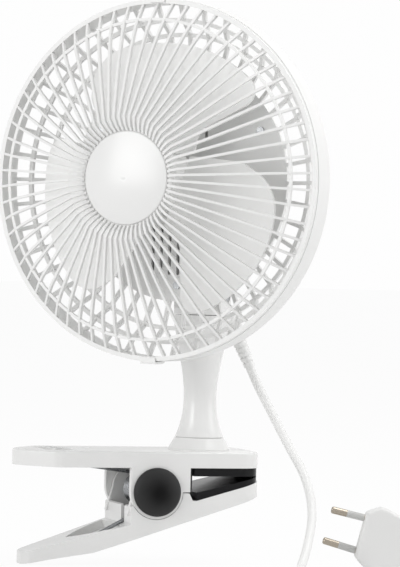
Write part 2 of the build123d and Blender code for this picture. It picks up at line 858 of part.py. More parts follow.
def neck_half(name, toward):
    """One half of the neck, parted through its axis; the cord leaves the rear half."""
    with BuildPart() as half:
        with BuildSketch(neck_side):
            with BuildLine():
                Polyline(
                    (0, neck_top),
                    (0, plate_top),
                    (tenon_radius, plate_top),
                    (tenon_radius, collar_top),
                    (neck_foot_radius - neck_groove, collar_top),
                    (neck_foot_radius - neck_groove, collar_top + neck_groove_height),
                    (neck_foot_radius, collar_top + neck_groove_height),
                )
                Spline(
                    (neck_foot_radius, collar_top + neck_groove_height),
                    (neck_waist_radius, waist_z),
                    (neck_flare_radius, flare_z),
                    (neck_top_radius, neck_top - neck_rim),
                )
                Polyline((neck_top_radius, neck_top - neck_rim), (neck_top_radius, neck_top), (0, neck_top))
            make_face()
        revolve(axis=neck_axis)
        if toward > 0:
            with BuildSketch(Plane(origin=outlet_root, z_dir=outlet_way)):
                Circle(outlet_radius)
            extrude(amount=outlet_length)
            with Locations(outlet_root):
                Sphere(outlet_radius)
        with BuildSketch(neck_side):
            with BuildLine():
                Polyline(
                    (0, neck_top - neck_deck),
                    (0, plate_top + neck_floor),
                    (tenon_radius - neck_wall, plate_top + neck_floor),
                    (tenon_radius - neck_wall, collar_top),
                )
                Spline(
                    (tenon_radius - neck_wall, collar_top),
                    (neck_waist_radius - neck_wall, waist_z),
                    (neck_flare_radius - neck_wall, flare_z),
                    (neck_top_radius - neck_wall, neck_top - neck_deck),
                )
                Line((neck_top_radius - neck_wall, neck_top - neck_deck), (0, neck_top - neck_deck))
            make_face()
        revolve(axis=neck_axis, mode=Mode.SUBTRACT)
        # screw bosses across the split
        with BuildSketch(Plane.YZ.offset(neck_x)):
            with Locations(*[(0, z) for z in neck_screws_z]):
                Circle(neck_boss_radius)
        extrude(amount=toward * (neck_waist_radius - 0.5))
        # deck bore, floor holes and the split
        with BuildSketch(Plane.XY.offset(neck_top - neck_deck - 1)):
            with Locations((neck_x, 0)):
                Circle(stem_radius + running_gap)
        extrude(amount=neck_deck + 2, mode=Mode.SUBTRACT)
        with BuildSketch(Plane.XY.offset(plate_top - 1)):
            with Locations((neck_x, 0)):
                Circle(wire_hole_radius)
            with Locations(*foot_screws):
                Circle(screw_radius)
        extrude(amount=neck_floor + 2, mode=Mode.SUBTRACT)
        if toward > 0:
            with BuildSketch(Plane(origin=outlet_mouth - outlet_way * gland_plug, z_dir=outlet_way)):
                Circle(gland_plug_radius + running_gap)
            extrude(amount=gland_plug + 1, mode=Mode.SUBTRACT)
            with BuildSketch(Plane(origin=outlet_mouth - outlet_way * 20, z_dir=outlet_way)):
                Circle(duct_radius)
            extrude(amount=20, mode=Mode.SUBTRACT)
            with BuildSketch(Plane.YZ.offset(neck_x)):
                with Locations(*[(0, z) for z in neck_screws_z]):
                    Circle(screw_radius + fit_gap)
            extrude(amount=30, mode=Mode.SUBTRACT)
            with BuildSketch(Plane.YZ.offset(neck_x + neck_waist_radius - neck_wall)):
                with Locations(*[(0, z) for z in neck_screws_z]):
                    Circle(screw_head_radius + fit_gap)
            extrude(amount=30, mode=Mode.SUBTRACT)
        else:
            with BuildSketch(Plane.YZ.offset(neck_x + 1)):
                with Locations(*[(0, z) for z in neck_screws_z]):
                    Circle(screw_radius)
            extrude(amount=-neck_waist_radius + 1.5, mode=Mode.SUBTRACT)
        split(
            bisect_by=Plane(origin=(neck_x, 0, 0), z_dir=(toward, 0, 0)),
            keep=Keep.TOP,
        )
    half.part.label = name
    export_step(half.part, "parts/" + name + ".step")


neck_half("neck_shell_front", -1)
neck_half("neck_shell_rear", 1)

head_seat = neck_x + neck_waist_radius - neck_wall
with BuildPart() as neck_screws:
    with BuildSketch(Plane.YZ.offset(head_seat)):
        with Locations(*[(0, z) for z in neck_screws_z]):
            Circle(screw_head_radius)
    extrude(amount=screw_head)
    with BuildSketch(Plane.YZ.offset(head_seat)):
        with Locations(*[(0, z) for z in neck_screws_z]):
            Circle(screw_radius)
    extrude(amount=neck_x - head_seat - neck_waist_radius + 3.0)
    with BuildSketch(Plane.XY.offset(foot_pocket_top)):
        with Locations(*foot_screws):
            Circle(screw_head_radius)
    extrude(amount=-screw_head)
    with BuildSketch(Plane.XY.offset(foot_pocket_top)):
        with Locations(*foot_screws):
            Circle(screw_radius)
    extrude(amount=plate_top + neck_floor - foot_pocket_top - 0.5)
neck_screws.part.label = "neck_screws"
export_step(neck_screws.part, "parts/neck_screws.step")

with BuildPart() as cord_gland:
    with BuildSketch(Plane(origin=outlet_mouth - outlet_way * gland_plug, z_dir=outlet_way)):
        Circle(gland_plug_radius)
    extrude(amount=gland_plug)
    with BuildSketch(Plane(origin=outlet_mouth, z_dir=outlet_way)):
        Circle(gland_base_radius)
    with BuildSketch(Plane(origin=outlet_mouth + outlet_way * gland_length, z_dir=outlet_way)):
        Circle(gland_end_radius)
    loft()
    for i in range(gland_ribs):
        at = gland_length * (i + 1) / (gland_ribs + 1)
        wide = gland_base_radius + (gland_end_radius - gland_base_radius) * at / gland_length
        with BuildSketch(Plane(origin=outlet_mouth + outlet_way * (at - 0.7), z_dir=outlet_way)):
            Circle(wide + 1)
            Circle(wide - 0.5, mode=Mode.SUBTRACT)
        extrude(amount=1.1, mode=Mode.SUBTRACT)
cord_gland.part.label = "cord_gland"
export_step(cord_gland.part, "parts/cord_gland.step")

# ---------------------------------------------------------------- swivelling fork

yoke_bottom = neck_top + yoke_gap
yoke_floor = yoke_bottom + yoke_base
ring_top = neck_top - neck_deck - 0.1
stem_bottom = neck_top - neck_deck - stem_drop
with BuildPart() as tilt_yoke:
    with BuildSketch(Plane.XY.offset(yoke_bottom)):
        with Locations((neck_x, 0)):
            Circle(neck_top_radius)
    extrude(amount=yoke_base)
    with BuildSketch(
        fork.offset(yoke_slot / 2), fork.offset(-yoke_slot / 2 - yoke_ear)
    ):
        Circle(yoke_ear_radius)
        with Locations((0, (yoke_floor - pivot_z - 1) / 2)):
            Rectangle(2 * yoke_ear_radius, pivot_z - yoke_floor + 1)
    extrude(amount=yoke_ear)
    with BuildSketch(Plane.XY.offset(yoke_bottom)):
        with Locations((neck_x, 0)):
            Circle(neck_top_radius)
    extrude(amount=40, mode=Mode.INTERSECT)
    with BuildSketch(fork.offset(-yoke_slot)):
        Circle(tilt_bolt_radius)
    extrude(amount=2 * yoke_slot, mode=Mode.SUBTRACT)
    with BuildSketch(
        fork.offset(yoke_slot / 2 + yoke_ear - bolt_head), fork.offset(-yoke_slot / 2 - yoke_ear)
    ):
        Circle(bolt_head_radius + fit_gap)
    extrude(amount=bolt_head, mode=Mode.SUBTRACT)
    with BuildSketch(Plane.XY.offset(stem_bottom)):
        with Locations((neck_x, 0)):
            Circle(stem_radius)
    extrude(amount=yoke_bottom - stem_bottom)
    with BuildSketch(Plane.XY.offset(ring_top - ring_thickness)):
        with Locations((neck_x, 0)):
            Circle(stem_radius + 1)
            Circle(stem_radius - ring_groove, mode=Mode.SUBTRACT)
    extrude(amount=ring_thickness, mode=Mode.SUBTRACT)
    with BuildSketch(Plane.XY.offset(stem_bottom)):
        with Locations((neck_x, 0)):
            Circle(stem_bore)
    extrude(amount=yoke_floor - stem_bottom + 1, mode=Mode.SUBTRACT)
tilt_yoke.part.label = "tilt_yoke"
export_step(tilt_yoke.part, "parts/tilt_yoke.step")

with BuildPart() as swivel_ring:
    with BuildSketch(Plane.XY.offset(ring_top - ring_thickness)):
        with Locations((neck_x, 0)):
            Circle(ring_radius)
            Circle(stem_radius - ring_groove, mode=Mode.SUBTRACT)
            with Locations((ring_radius, 0)):
                Rectangle(2 * ring_radius, 6.0, mode=Mode.SUBTRACT)
    extrude(amount=ring_thickness)
swivel_ring.part.label = "swivel_ring"
export_step(swivel_ring.part, "parts/swivel_ring.step")

ear_face = yoke_slot / 2 + yoke_ear
with BuildPart() as tilt_bolt:
    with BuildSketch(fork.offset(bolt_head - ear_face)):
        Circle(tilt_bolt_radius)
    extrude(amount=2 * (ear_face - bolt_head))
    with BuildSketch(fork.offset(-ear_face)):
        Circle(bolt_head_radius)
        RectangleRounded(5.6, 0.9, 0.3, mode=Mode.SUBTRACT)
    extrude(amount=bolt_head / 2)
    with BuildSketch(fork.offset(bolt_head / 2 - ear_face)):
        Circle(bolt_head_radius)
    extrude(amount=bolt_head / 2)
tilt_bolt.part.label = "tilt_bolt"
export_step(tilt_bolt.part, "parts/tilt_bolt.step")

with BuildPart() as tilt_nut:
    with BuildSketch(fork.offset(ear_face - bolt_head)):
        RegularPolygon(bolt_head_radius, 6)
    extrude(amount=bolt_head - 0.2)
tilt_nut.part.label = "tilt_nut"
export_step(tilt_nut.part, "parts/tilt_nut.step")

# ---------------------------------------------------------------- motor housing with the tilt lug

housing_front = disc_height
housing_back = disc_height - housing_depth
motor_screws_at = [(motor_screw_spread, 0), (-motor_screw_spread, 0)]
disc_screws = PolarLocations(housing_screw_circle, 3, 30)


def dome_line(inset):
    """Half of the dome's outline from its open front to its back, drawn in by this much."""
    with BuildSketch(head_radial(0)) as half:
        with BuildLine():
            Polyline(
                (0, housing_front),
                (disc_radius - 1.5 - inset, housing_front),
                (disc_radius - 3.5 - inset, housing_front - 8.0),
                (44.5 - inset, housing_front - 32.0),
                (30.0 - inset, housing_back + inset),
                (0, housing_back + inset),
                close=True,
            )
        make_face()
        back_corner = half.vertices().filter_by(
            lambda v: v.X > 1 and abs(v.Y - housing_back - inset) < 0.01
        )
        fillet(back_corner, housing_back_round - inset)
        fillet(half.vertices().filter_by(lambda v: abs(v.Y - housing_front + 32.0) < 0.01), 20.0)
    return half.sketch


lug_width = yoke_slot - 2 * lug_gap
with BuildPart() as housing_room:
    add(dome_line(housing_wall))
    revolve(axis=head_axis)
    with BuildSketch(head.offset(housing_front)):
        with disc_screws:
            Circle(housing_post_radius)
    extrude(amount=-housing_depth, mode=Mode.SUBTRACT)

with BuildPart() as motor_housing:
    add(dome_line(0))
    revolve(axis=head_axis)
    with BuildSketch(fork.offset(-lug_width / 2)):
        Circle(lug_radius)
        with Locations((0, 10)):
            Rectangle(2 * lug_radius, 20)
    extrude(amount=lug_width)
    add(housing_room.part, mode=Mode.SUBTRACT)
    with BuildSketch(fork.offset(-lug_width)):
        Circle(tilt_bolt_radius + running_gap)
    extrude(amount=2 * lug_width, mode=Mode.SUBTRACT)
    with BuildSketch(head.offset(housing_back - 1)):
        for i in range(vent_count):
            with Locations(((i - (vent_count - 1) / 2) * vent_pitch, 0)):
                SlotOverall(vent_length, vent_width, rotation=90)
    extrude(amount=housing_back_round, mode=Mode.SUBTRACT)
    with BuildSketch(head.offset(housing_front)):
        with disc_screws:
            Circle(screw_radius)
    extrude(amount=-9, mode=Mode.SUBTRACT)
motor_housing.part.label = "motor_housing"
export_step(motor_housing.part, "parts/motor_housing.step")

# ---------------------------------------------------------------- rear grille and its disc

disc_front = disc_height + disc_thickness
bracket_front = stator_middle + stator_length / 2 + bracket_offset
with BuildPart() as rear_grille:
    # disc with upright slots above and below the shaft
    with BuildSketch(head.offset(disc_height)):
        Circle(disc_radius)
        Circle(bearing_radius + 1.5, mode=Mode.SUBTRACT)
        for i in range(slot_count):
            across = (i - (slot_count - 1) / 2) * slot_pitch
            with Locations((across, slot_middle), (across, -slot_middle)):
                SlotOverall(slot_length, slot_width, rotation=90, mode=Mode.SUBTRACT)
        with disc_screws:
            Circle(screw_radius + fit_gap, mode=Mode.SUBTRACT)
    extrude(amount=disc_thickness)
    # motor standoffs
    with BuildSketch(head.offset(disc_height)):
        with Locations(*motor_screws_at):
            Circle(standoff_radius)
    extrude(amount=bracket_front - disc_height)
    with BuildSketch(head.offset(bracket_front)):
        with Locations(*motor_screws_at):
            Circle(motor_screw_radius)
    extrude(amount=disc_height - bracket_front - 0.5 + disc_thickness / 2, mode=Mode.SUBTRACT)
    # spokes
    with BuildSketch(*[head_radial(360 / rear_spoke_count * i) for i in range(rear_spoke_count)]):
        Polygon(
            *band(
                [
                    (disc_radius - 1.2, disc_front + 0.1),
                    (basket_radius, basket_height),
                    (basket_ring_radius, basket_ring_height),
                    (rim_radius - rim_wall + 0.6, basket_ring_height + 5.6),
                ],
                rear_spoke_depth,
            ),
            align=None,
        )
    extrude(amount=rear_spoke_width / 2, both=True)
    # rings and the outer band
    with BuildSketch(head_radial(0)):
        with Locations((basket_radius + 0.2, basket_height - rear_spoke_depth / 2)):
            Rectangle(2.2, 2.0)
        with Locations((basket_ring_radius + 0.6, basket_ring_height - rear_spoke_depth / 2)):
            Rectangle(2.2, 2.2)
        with Locations((rim_radius - rim_wall / 2, -rim_depth / 2)):
            Rectangle(rim_wall, rim_depth)
    revolve(axis=head_axis)
rear_grille.part.label = "rear_grille"
export_step(rear_grille.part, "parts/rear_grille.step")

with BuildPart() as housing_screws:
    with BuildSketch(head.offset(disc_front)):
        with disc_screws:
            Circle(screw_head_radius)
    extrude(amount=screw_head)
    with BuildSketch(head.offset(disc_front)):
        with disc_screws:
            Circle(screw_radius)
    extrude(amount=-disc_thickness - 8)
housing_screws.part.label = "housing_screws"
export_step(housing_screws.part, "parts/housing_screws.step")

# ---------------------------------------------------------------- front grille, badge and rim clips

ring_outer = rim_radius - front_ring_inset
ring_inner = ring_outer - front_ring_width
hub_ring_outer = badge_radius + 2.4
with BuildPart() as front_grille:
    with BuildSketch(*[head_radial(360 / front_rib_count * (i + 0.5)) for i in range(front_rib_count)]):
        Polygon(
            *band(
                [
                    (badge_radius + 0.3, badge_base_height + 1.3),
                    (badge_radius + 3.4, crest_height - 1.5),
                    (crest_radius, crest_height),
                    (crest_radius + 27.0, crest_height - 12.2),
                    (corner_radius - 6.0, corner_height + 4.0),
                    (corner_radius, corner_height),
                    (ring_inner + 0.8, front_ring_height - 0.8),
                ],
                front_rib_depth,
            ),
            align=None,
        )
    extrude(amount=front_rib_width / 2, both=True)
    with BuildSketch(head_radial(0)):
        with Locations(((badge_radius - 4.6 + hub_ring_outer) / 2, badge_base_height - 1.2)):
            Rectangle(hub_ring_outer - badge_radius + 4.6, 2.4)
        with Locations(((ring_inner + ring_outer) / 2, front_ring_height / 2)):
            Rectangle(front_ring_width, front_ring_height)
        with Locations((corner_radius + 0.1, corner_height - 1.3)):
            Rectangle(1.6, 1.6)
    revolve(axis=head_axis)
front_grille.part.label = "front_grille"
export_step(front_grille.part, "parts/front_grille.step")

with BuildPart() as centre_badge:
    with BuildSketch(head_radial(0)):
        with BuildLine():
            Polyline(
                (0, badge_base_height + badge_edge + badge_dome),
                (0, badge_base_height),
                (badge_radius, badge_base_height),
                (badge_radius, badge_base_height + badge_edge - 0.5),
                (badge_radius - 0.5, badge_base_height + badge_edge),
            )
            TangentArc(
                (0, badge_base_height + badge_edge + badge_dome),
                (badge_radius - 0.5, badge_base_height + badge_edge),
                tangent=(1, 0),
            )
        make_face()
    revolve(axis=head_axis)
centre_badge.part.label = "centre_badge"
export_step(centre_badge.part, "parts/centre_badge.step")

clip_foot = rim_radius + 0.05
with BuildPart() as grille_clips:
    with BuildSketch(*[head_radial(90 + 360 / clip_count * i) for i in range(clip_count)]):
        Polygon(
            (clip_foot, -rim_depth * 0.55),
            (clip_foot + clip_thickness * 0.5, -rim_depth * 0.55),
            (clip_foot + clip_thickness, -rim_depth * 0.35),
            (clip_foot + clip_thickness, front_ring_height + 0.6),
            (clip_foot + clip_thickness - 0.9, front_ring_height + clip_thickness),
            (rim_radius - 2.4, front_ring_height + clip_thickness),
            (rim_radius - 2.4, front_ring_height + 0.05),
            (clip_foot, front_ring_height + 0.05),
            align=None,
        )
    extrude(amount=clip_width_round / 2, both=True)
grille_clips.part.label = "grille_clips"
export_step(grille_clips.part, "parts/grille_clips.step")

# ---------------------------------------------------------------- motor

stator_front = stator_middle + stator_length / 2
stator_back = stator_middle - stator_length / 2
bracket_back = stator_back - bracket_offset
with BuildPart() as motor_stator:
    with BuildSketch(head.offset(stator_back)):
        with Locations((0, (stator_top + stator_bottom) / 2)):
            Rectangle(stator_width, stator_top - stator_bottom)
        Circle(rotor_radius + air_gap, mode=Mode.SUBTRACT)
        with Locations((0, (window_top + window_bottom) / 2)):
            Rectangle(window_width, window_top - window_bottom, mode=Mode.SUBTRACT)
        with Locations(*motor_screws_at):
            Circle(motor_screw_radius + running_gap, mode=Mode.SUBTRACT)
    extrude(amount=stator_length)
motor_stator.part.label = "motor_stator"
export_step(motor_stator.part, "parts/motor_stator.step")

limb_middle = (window_bottom + stator_bottom) / 2
limb = window_bottom - stator_bottom
with BuildPart() as motor_coil:
    with BuildSketch(Plane(origin=rim_centre - side * (window_width / 2 - 1), x_dir=up, z_dir=side)):
        with Locations((limb_middle, stator_middle)):
            RectangleRounded(limb + 2 * (coil_overhang + 0.9), stator_length + 2 * coil_overhang, 3.0)
            Rectangle(limb + 2 * coil_margin, stator_length + 2 * coil_margin, mode=Mode.SUBTRACT)
    extrude(amount=window_width - 2)
motor_coil.part.label = "motor_coil"
export_step(motor_coil.part, "parts/motor_coil.step")

with BuildPart() as motor_brackets:
    with BuildSketch(
        head.offset(bracket_front - bracket_thickness), head.offset(bracket_back)
    ):
        SlotOverall(stator_width + 4, bracket_height)
        Circle(bearing_radius, mode=Mode.SUBTRACT)
        with Locations(*motor_screws_at):
            Circle(motor_screw_radius + running_gap, mode=Mode.SUBTRACT)
    extrude(amount=bracket_thickness)
motor_brackets.part.label = "motor_brackets"
export_step(motor_brackets.part, "parts/motor_brackets.step")

with BuildPart() as motor_spacers:
    with BuildSketch(head.offset(stator_front), head.offset(bracket_back + bracket_thickness)):
        with Locations(*motor_screws_at):
            Circle(standoff_radius - 0.6)
            Circle(motor_screw_radius + running_gap, mode=Mode.SUBTRACT)
    extrude(amount=bracket_offset - bracket_thickness)
motor_spacers.part.label = "motor_spacers"
export_step(motor_spacers.part, "parts/motor_spacers.step")

with BuildPart() as motor_bearings:
    with BuildSketch(
        head.offset(bracket_front - bracket_thickness - 1.0),
        head.offset(bracket_back + bracket_thickness + 1.0 - bearing_length),
    ):
        Circle(bearing_radius)
        Circle(shaft_radius + 0.03, mode=Mode.SUBTRACT)
    extrude(amount=bearing_length)
motor_bearings.part.label = "motor_bearings"
export_step(motor_bearings.part, "parts/motor_bearings.step")

with BuildPart() as motor_screws:
    with BuildSketch(head.offset(bracket_back)):
        with Locations(*motor_screws_at):
            Circle(motor_screw_radius)
    extrude(amount=disc_height - bracket_back)
    with BuildSketch(head.offset(bracket_back)):
        with Locations(*motor_screws_at):
            Circle(motor_screw_radius + 1.3)
    extrude(amount=-1.6)
motor_screws.part.label = "motor_screws"
export_step(motor_screws.part, "parts/motor_screws.step")

with BuildPart() as motor_rotor:
    with BuildSketch(head.offset(stator_middle - rotor_length / 2)):
        Circle(rotor_radius)
        Circle(shaft_radius, mode=Mode.SUBTRACT)
    extrude(amount=rotor_length)
motor_rotor.part.label = "motor_rotor"
export_step(motor_rotor.part, "parts/motor_rotor.step")

shaft_back = bracket_back + bracket_thickness - bearing_length - 0.5
with BuildPart() as motor_shaft:
    with BuildSketch(head.offset(shaft_back)):
        Circle(shaft_radius)
    extrude(amount=shaft_front - shaft_back)
motor_shaft.part.label = "motor_shaft"
export_step(motor_shaft.part, "parts/motor_shaft.step")

# ---------------------------------------------------------------- blade wheel and its nut

blade_root = hub_radius - 2.0
blade_tip_rise = blade_radius * tan(radians(blade_slope))
blade_root_rise = blade_root_half * tan(radians(blade_root_slope))


def blade_plane(angle, reach):
    """Plane across a blade at this reach: x runs round the axis and y forwards."""
    outward = side * cos(radians(angle)) + up * sin(radians(angle))
    return Plane(
        origin=rim_centre + outward * reach + facing * blade_middle,
        x_dir=facing.cross(outward),
        z_dir=outward,
    )


# outline of a blade, outwards along X: a straight leading edge with a wide corner, and a swept trailing one
with BuildSketch() as blade_plan:
    Polygon(
        (0, -hub_radius),
        (blade_trail_start, -blade_trail),
        (
            blade_trail_start + 2 * blade_radius * cos(radians(blade_trail_sweep)),
            -blade_trail - 2 * blade_radius * sin(radians(blade_trail_sweep)),
        ),
        (2 * blade_radius, 0),
        (2 * blade_radius, blade_lead),
        (blade_lead_start, blade_lead),
        (0, hub_radius),
        align=None,
    )
    bends = [
        v
        for v in blade_plan.vertices()
        if hypot(v.X - blade_trail_start, v.Y + blade_trail) < 0.1
        or hypot(v.X - blade_lead_start, v.Y - blade_lead) < 0.1
    ]
    fillet(bends, blade_bend)
    Circle(blade_radius, mode=Mode.INTERSECT)
    tips = [v for v in blade_plan.vertices() if hypot(v.X, v.Y) > blade_radius - 0.1]
    fillet([v for v in tips if v.Y < 0], blade_trail_corner)
    tips = [v for v in blade_plan.vertices() if hypot(v.X, v.Y) > blade_radius - 0.1]
    fillet([v for v in tips if v.Y > 0], blade_lead_corner)

with BuildPart() as fan_blade:
    for i in range(blade_count):
        angle = 90 - blade_turn - 360 / blade_count * i
        for share in (0.0, 0.5, 1.0):
            reach = blade_root + (blade_radius + 1 - blade_root) * share
            half = blade_root_half + (blade_radius - blade_root_half) * share
            rise = blade_root_rise + (blade_tip_rise - blade_root_rise) * share
            sag = 1.0 + (blade_sag - 1.0) * share
            with BuildSketch(blade_plane(angle, reach)):
                with BuildLine():
                    ThreePointArc((-half, -rise), (0, -sag), (half, rise))
                    Line((half, rise), (half, rise - blade_thickness))
                    ThreePointArc(
                        (half, rise - blade_thickness),
                        (0, -sag - blade_thickness),
                        (-half, -rise - blade_thickness),
                    )
                    Line((-half, -rise - blade_thickness), (-half, -rise))
                make_face()
        loft()
    # trimmed to the sweep circle
    with BuildSketch(head.offset(blade_middle - blade_tip_rise - 20)):
        with Locations(*[Rotation(0, 0, 90 - blade_turn - 360 / blade_count * i) for i in range(blade_count)]):
            add(blade_plan.sketch)
    extrude(amount=2 * blade_tip_rise + 40, mode=Mode.INTERSECT)
    with BuildSketch(head_radial(0)):
        with BuildLine():
            Polyline(
                (shaft_radius + 0.01, hub_front),
                (shaft_radius + 0.01, hub_back + 4),
                (hub_boss_radius, hub_back + 4),
                (hub_boss_radius, hub_front - 4),
                (hub_radius - hub_wall, hub_front - 6),
                (hub_radius - hub_wall, hub_back),
                (hub_radius, hub_back),
                (hub_radius, hub_front - 3),
                (hub_radius - 3, hub_front),
                close=True,
            )
        make_face()
    revolve(axis=head_axis)
fan_blade.part.label = "fan_blade"
export_step(fan_blade.part, "parts/fan_blade.step")

with BuildPart() as blade_nut:
    with BuildSketch(head_radial(0)):
        with BuildLine():
            Polyline(
                (shaft_radius + 0.01, hub_front + 0.05),
                (nut_radius, hub_front + 0.05),
                (nut_radius - 0.6, hub_front + nut_length - 2.5),
                (nut_radius - 3.2, hub_front + nut_length),
                (0, hub_front + nut_length),
                (0, shaft_front + 0.05),
                (shaft_radius + 0.01, shaft_front + 0.05),
                close=True,
            )
        make_face()
    revolve(axis=head_axis)
    with BuildSketch(head.offset(hub_front)):
        with PolarLocations(nut_radius + 0.7, 12):
            Circle(1.2)
    extrude(amount=nut_length, mode=Mode.SUBTRACT)
blade_nut.part.label = "blade_nut"
export_step(blade_nut.part, "parts/blade_nut.step")

# ---------------------------------------------------------------- cord, its put-away coil and the plug


def corner_radii(points):
    """Bend radius at each corner of a route: as large as its two runs leave room for."""
    radii = []
    for before, at, after in zip(points, points[1:], points[2:]):
        turn = radians((at - before).get_angle(after - at))
        radii.append(0.45 * min((at - before).length, (after - at).length) / tan(turn / 2))
    return radii


def cord_tube(name, points):
    """A round cord along a route."""
    radii = corner_radii(points)
    print(name, "radii", [round(r) for r in radii])
    with BuildPart() as tube:
        with BuildLine() as route:
            FilletPolyline(*points, radius=radii)
        with BuildSketch(Plane(origin=points[0], z_dir=points[1] - points[0])):
            Circle(cord_radius)
        sweep(path=route.line)
    length = sum(edge.length for edge in route.edges())
    print(name, "length", round(length), "volume", round(tube.part.volume),
          "section x length", round(pi * cord_radius**2 * length))
    tube.part.label = name
    export_step(tube.part, "parts/" + name + ".step")


cord_z = floor_z + cord_radius
turn_out = radians(view_turn)
towards = Vector(-sin(turn_out), -cos(turn_out), 0)
rightwards = Vector(cos(turn_out), -sin(turn_out), 0)
coil_centre = Vector(coil_x, coil_y, cord_z)
straight = 2 * cord_radius
coil_entry = coil_centre - rightwards * coil_radius - towards * straight
coil_exit = coil_centre + rightwards * coil_radius - towards * straight + up * coil_layer_rise

cord_exit = outlet_mouth + outlet_way * gland_length
cord_route = [
    cord_exit,
    cord_exit + outlet_way * 10,
    Vector(28.2, -5.0, 40.0),
    Vector(36.7, -17.0, 18.0),
    Vector(45.0, -27.0, 0.0),
    Vector(45.0, -40.0, -19.0),
    Vector(36.8, -54.0, -36.5),
    Vector(28.0, -68.0, cord_z),
    Vector(14.5, -92.0, cord_z),
    Vector(1.7, -121.3, cord_z),
    coil_entry - towards * 26,
    coil_entry,
]
cord_tube("power_cord", cord_route)

lying = radians(plug_tilt)
pins_way = rightwards * -cos(lying) + up * sin(lying)
plug_face = Vector(plug_x, plug_y, floor_z + plug_lift)
plug_end = plug_face - pins_way * (plug_length + relief_length)
tail_route = [
    coil_exit,
    coil_exit - towards * 22,
    Vector(94.3, -159.6, -46.6),
    Vector(115.9, -138.8, cord_z),
    Vector(134.0, -117.3, cord_z),
    Vector(146.4, -98.0, cord_z),
    Vector(149.0, -80.2, cord_z),
    Vector(143.0, -65.3, cord_z + 0.3),
    plug_end - pins_way * 10,
    plug_end,
]
cord_tube("power_cord_tail", tail_route)

# the coil: in along the floor, up a layer while it turns back, and out again on top
layer_sweep = 2 * pi * coil_layer_turns
coil_sweep = 2 * layer_sweep + pi
coil_pull = coil_step / (2 * pi)


def coil_point(turn):
    """Point of the coil after this many radians."""
    rise = 0.0
    if turn <= layer_sweep:
        reach = coil_radius - coil_pull * turn
    elif turn <= layer_sweep + pi:
        past = turn - layer_sweep
        reach = coil_radius - coil_pull * (layer_sweep + past - past * past / pi)
        rise = coil_layer_rise * (1 - cos(past)) / 2
    else:
        reach = coil_radius - coil_pull * (coil_sweep - turn)
        rise = coil_layer_rise
    out = rightwards * -cos(turn) + towards * sin(turn)
    return coil_centre + out * reach + up * rise


def coil_way(turn):
    """Direction of the coil there."""
    return (coil_point(turn + 1e-4) - coil_point(turn - 1e-4)).normalized()


coil_steps = 2 * round(coil_sweep / pi)
with BuildPart() as cord_coil:
    with BuildLine() as coil_line:
        Line(coil_entry, coil_point(0))
        for i in range(coil_steps):
            t0 = coil_sweep * i / coil_steps
            t1 = coil_sweep * (i + 1) / coil_steps
            way0 = towards if i == 0 else coil_way(t0)
            way1 = towards * -1 if i == coil_steps - 1 else coil_way(t1)
            biarc(coil_point(t0), way0, coil_point(t1), way1)
        Line(coil_point(coil_sweep), coil_exit)
    with BuildSketch(Plane(origin=coil_entry, z_dir=towards)):
        Circle(cord_radius)
    sweep(path=coil_line.line)
cord_coil.part.label = "cord_coil"
export_step(cord_coil.part, "parts/cord_coil.step")
coil_length = sum(edge.length for edge in coil_line.edges())
coil_track = [coil_point(coil_sweep * i / 1200) for i in range(1201)]
print("cord coil gap", round(least_gap(coil_track, cord_radius, 60), 2))
print("cord coil length", round(coil_length), "volume", round(cord_coil.part.volume),
      "section x length", round(pi * cord_radius**2 * coil_length))

plug = Plane(origin=plug_face, x_dir=pins_way, z_dir=towards)
taper_end = plug_width / 2 - tan(radians(plug_taper)) * (plug_length - 11.0)
# the two pins lean slightly towards each other
pin_lean = atan2((pin_spread - pin_tip_spread) / 2, pin_length)
pin_planes = [
    Plane(
        origin=plug_face + plug.y_dir * (sign * pin_spread / 2),
        z_dir=pins_way * cos(pin_lean) - plug.y_dir * (sign * sin(pin_lean)),
    )
    for sign in (-1, 1)
]
with BuildPart() as plug_body:
    with BuildSketch(plug.offset(-plug_thickness / 2)) as plug_outline:
        with BuildLine():
            Polyline(
                (0, plug_width / 2 - 4.5),
                (-7.0, plug_width / 2),
                (-11.0, plug_width / 2),
                (-plug_length, taper_end),
                (-plug_length, -taper_end),
                (-11.0, -plug_width / 2),
                (-7.0, -plug_width / 2),
                (0, 4.5 - plug_width / 2),
                close=True,
            )
        make_face()
        fillet(plug_outline.vertices(), 2.5)
    extrude(amount=plug_thickness)
    fillet(plug_body.edges().filter_by(lambda e: e.length > 0.5).group_by(
        lambda e: round(abs((e.center() - plug_face).dot(towards)), 1))[-1], 1.6)
    with BuildSketch(*[p.offset(-pin_root) for p in pin_planes]):
        Circle(pin_core_radius)
    extrude(amount=pin_root + 5, mode=Mode.SUBTRACT)
plug_body.part.label = "plug_body"
export_step(plug_body.part, "parts/plug_body.step")

with BuildPart() as plug_relief:
    with BuildSketch(Plane(origin=plug_face - pins_way * plug_length, z_dir=pins_way * -1)):
        Circle(relief_base_radius)
    with BuildSketch(Plane(origin=plug_end, z_dir=pins_way * -1)):
        Circle(relief_end_radius)
    loft()
    for i in range(relief_ribs):
        at = relief_length * (i + 1) / (relief_ribs + 1)
        wide = relief_base_radius + (relief_end_radius - relief_base_radius) * at / relief_length
        place = plug_face - pins_way * (plug_length + at - 0.7)
        with BuildSketch(Plane(origin=place, z_dir=pins_way * -1)):
            Circle(wide + 1)
            Circle(wide - 0.6, mode=Mode.SUBTRACT)
        extrude(amount=1.2, mode=Mode.SUBTRACT)
plug_relief.part.label = "plug_relief"
export_step(plug_relief.part, "parts/plug_relief.step")

with BuildPart() as plug_sleeves:
    with BuildSketch(*[p.offset(0.3) for p in pin_planes]):
        Circle(pin_radius)
        Circle(pin_core_radius, mode=Mode.SUBTRACT)
    extrude(amount=pin_sleeve - 0.3)
plug_sleeves.part.label = "plug_sleeves"
export_step(plug_sleeves.part, "parts/plug_sleeves.step")

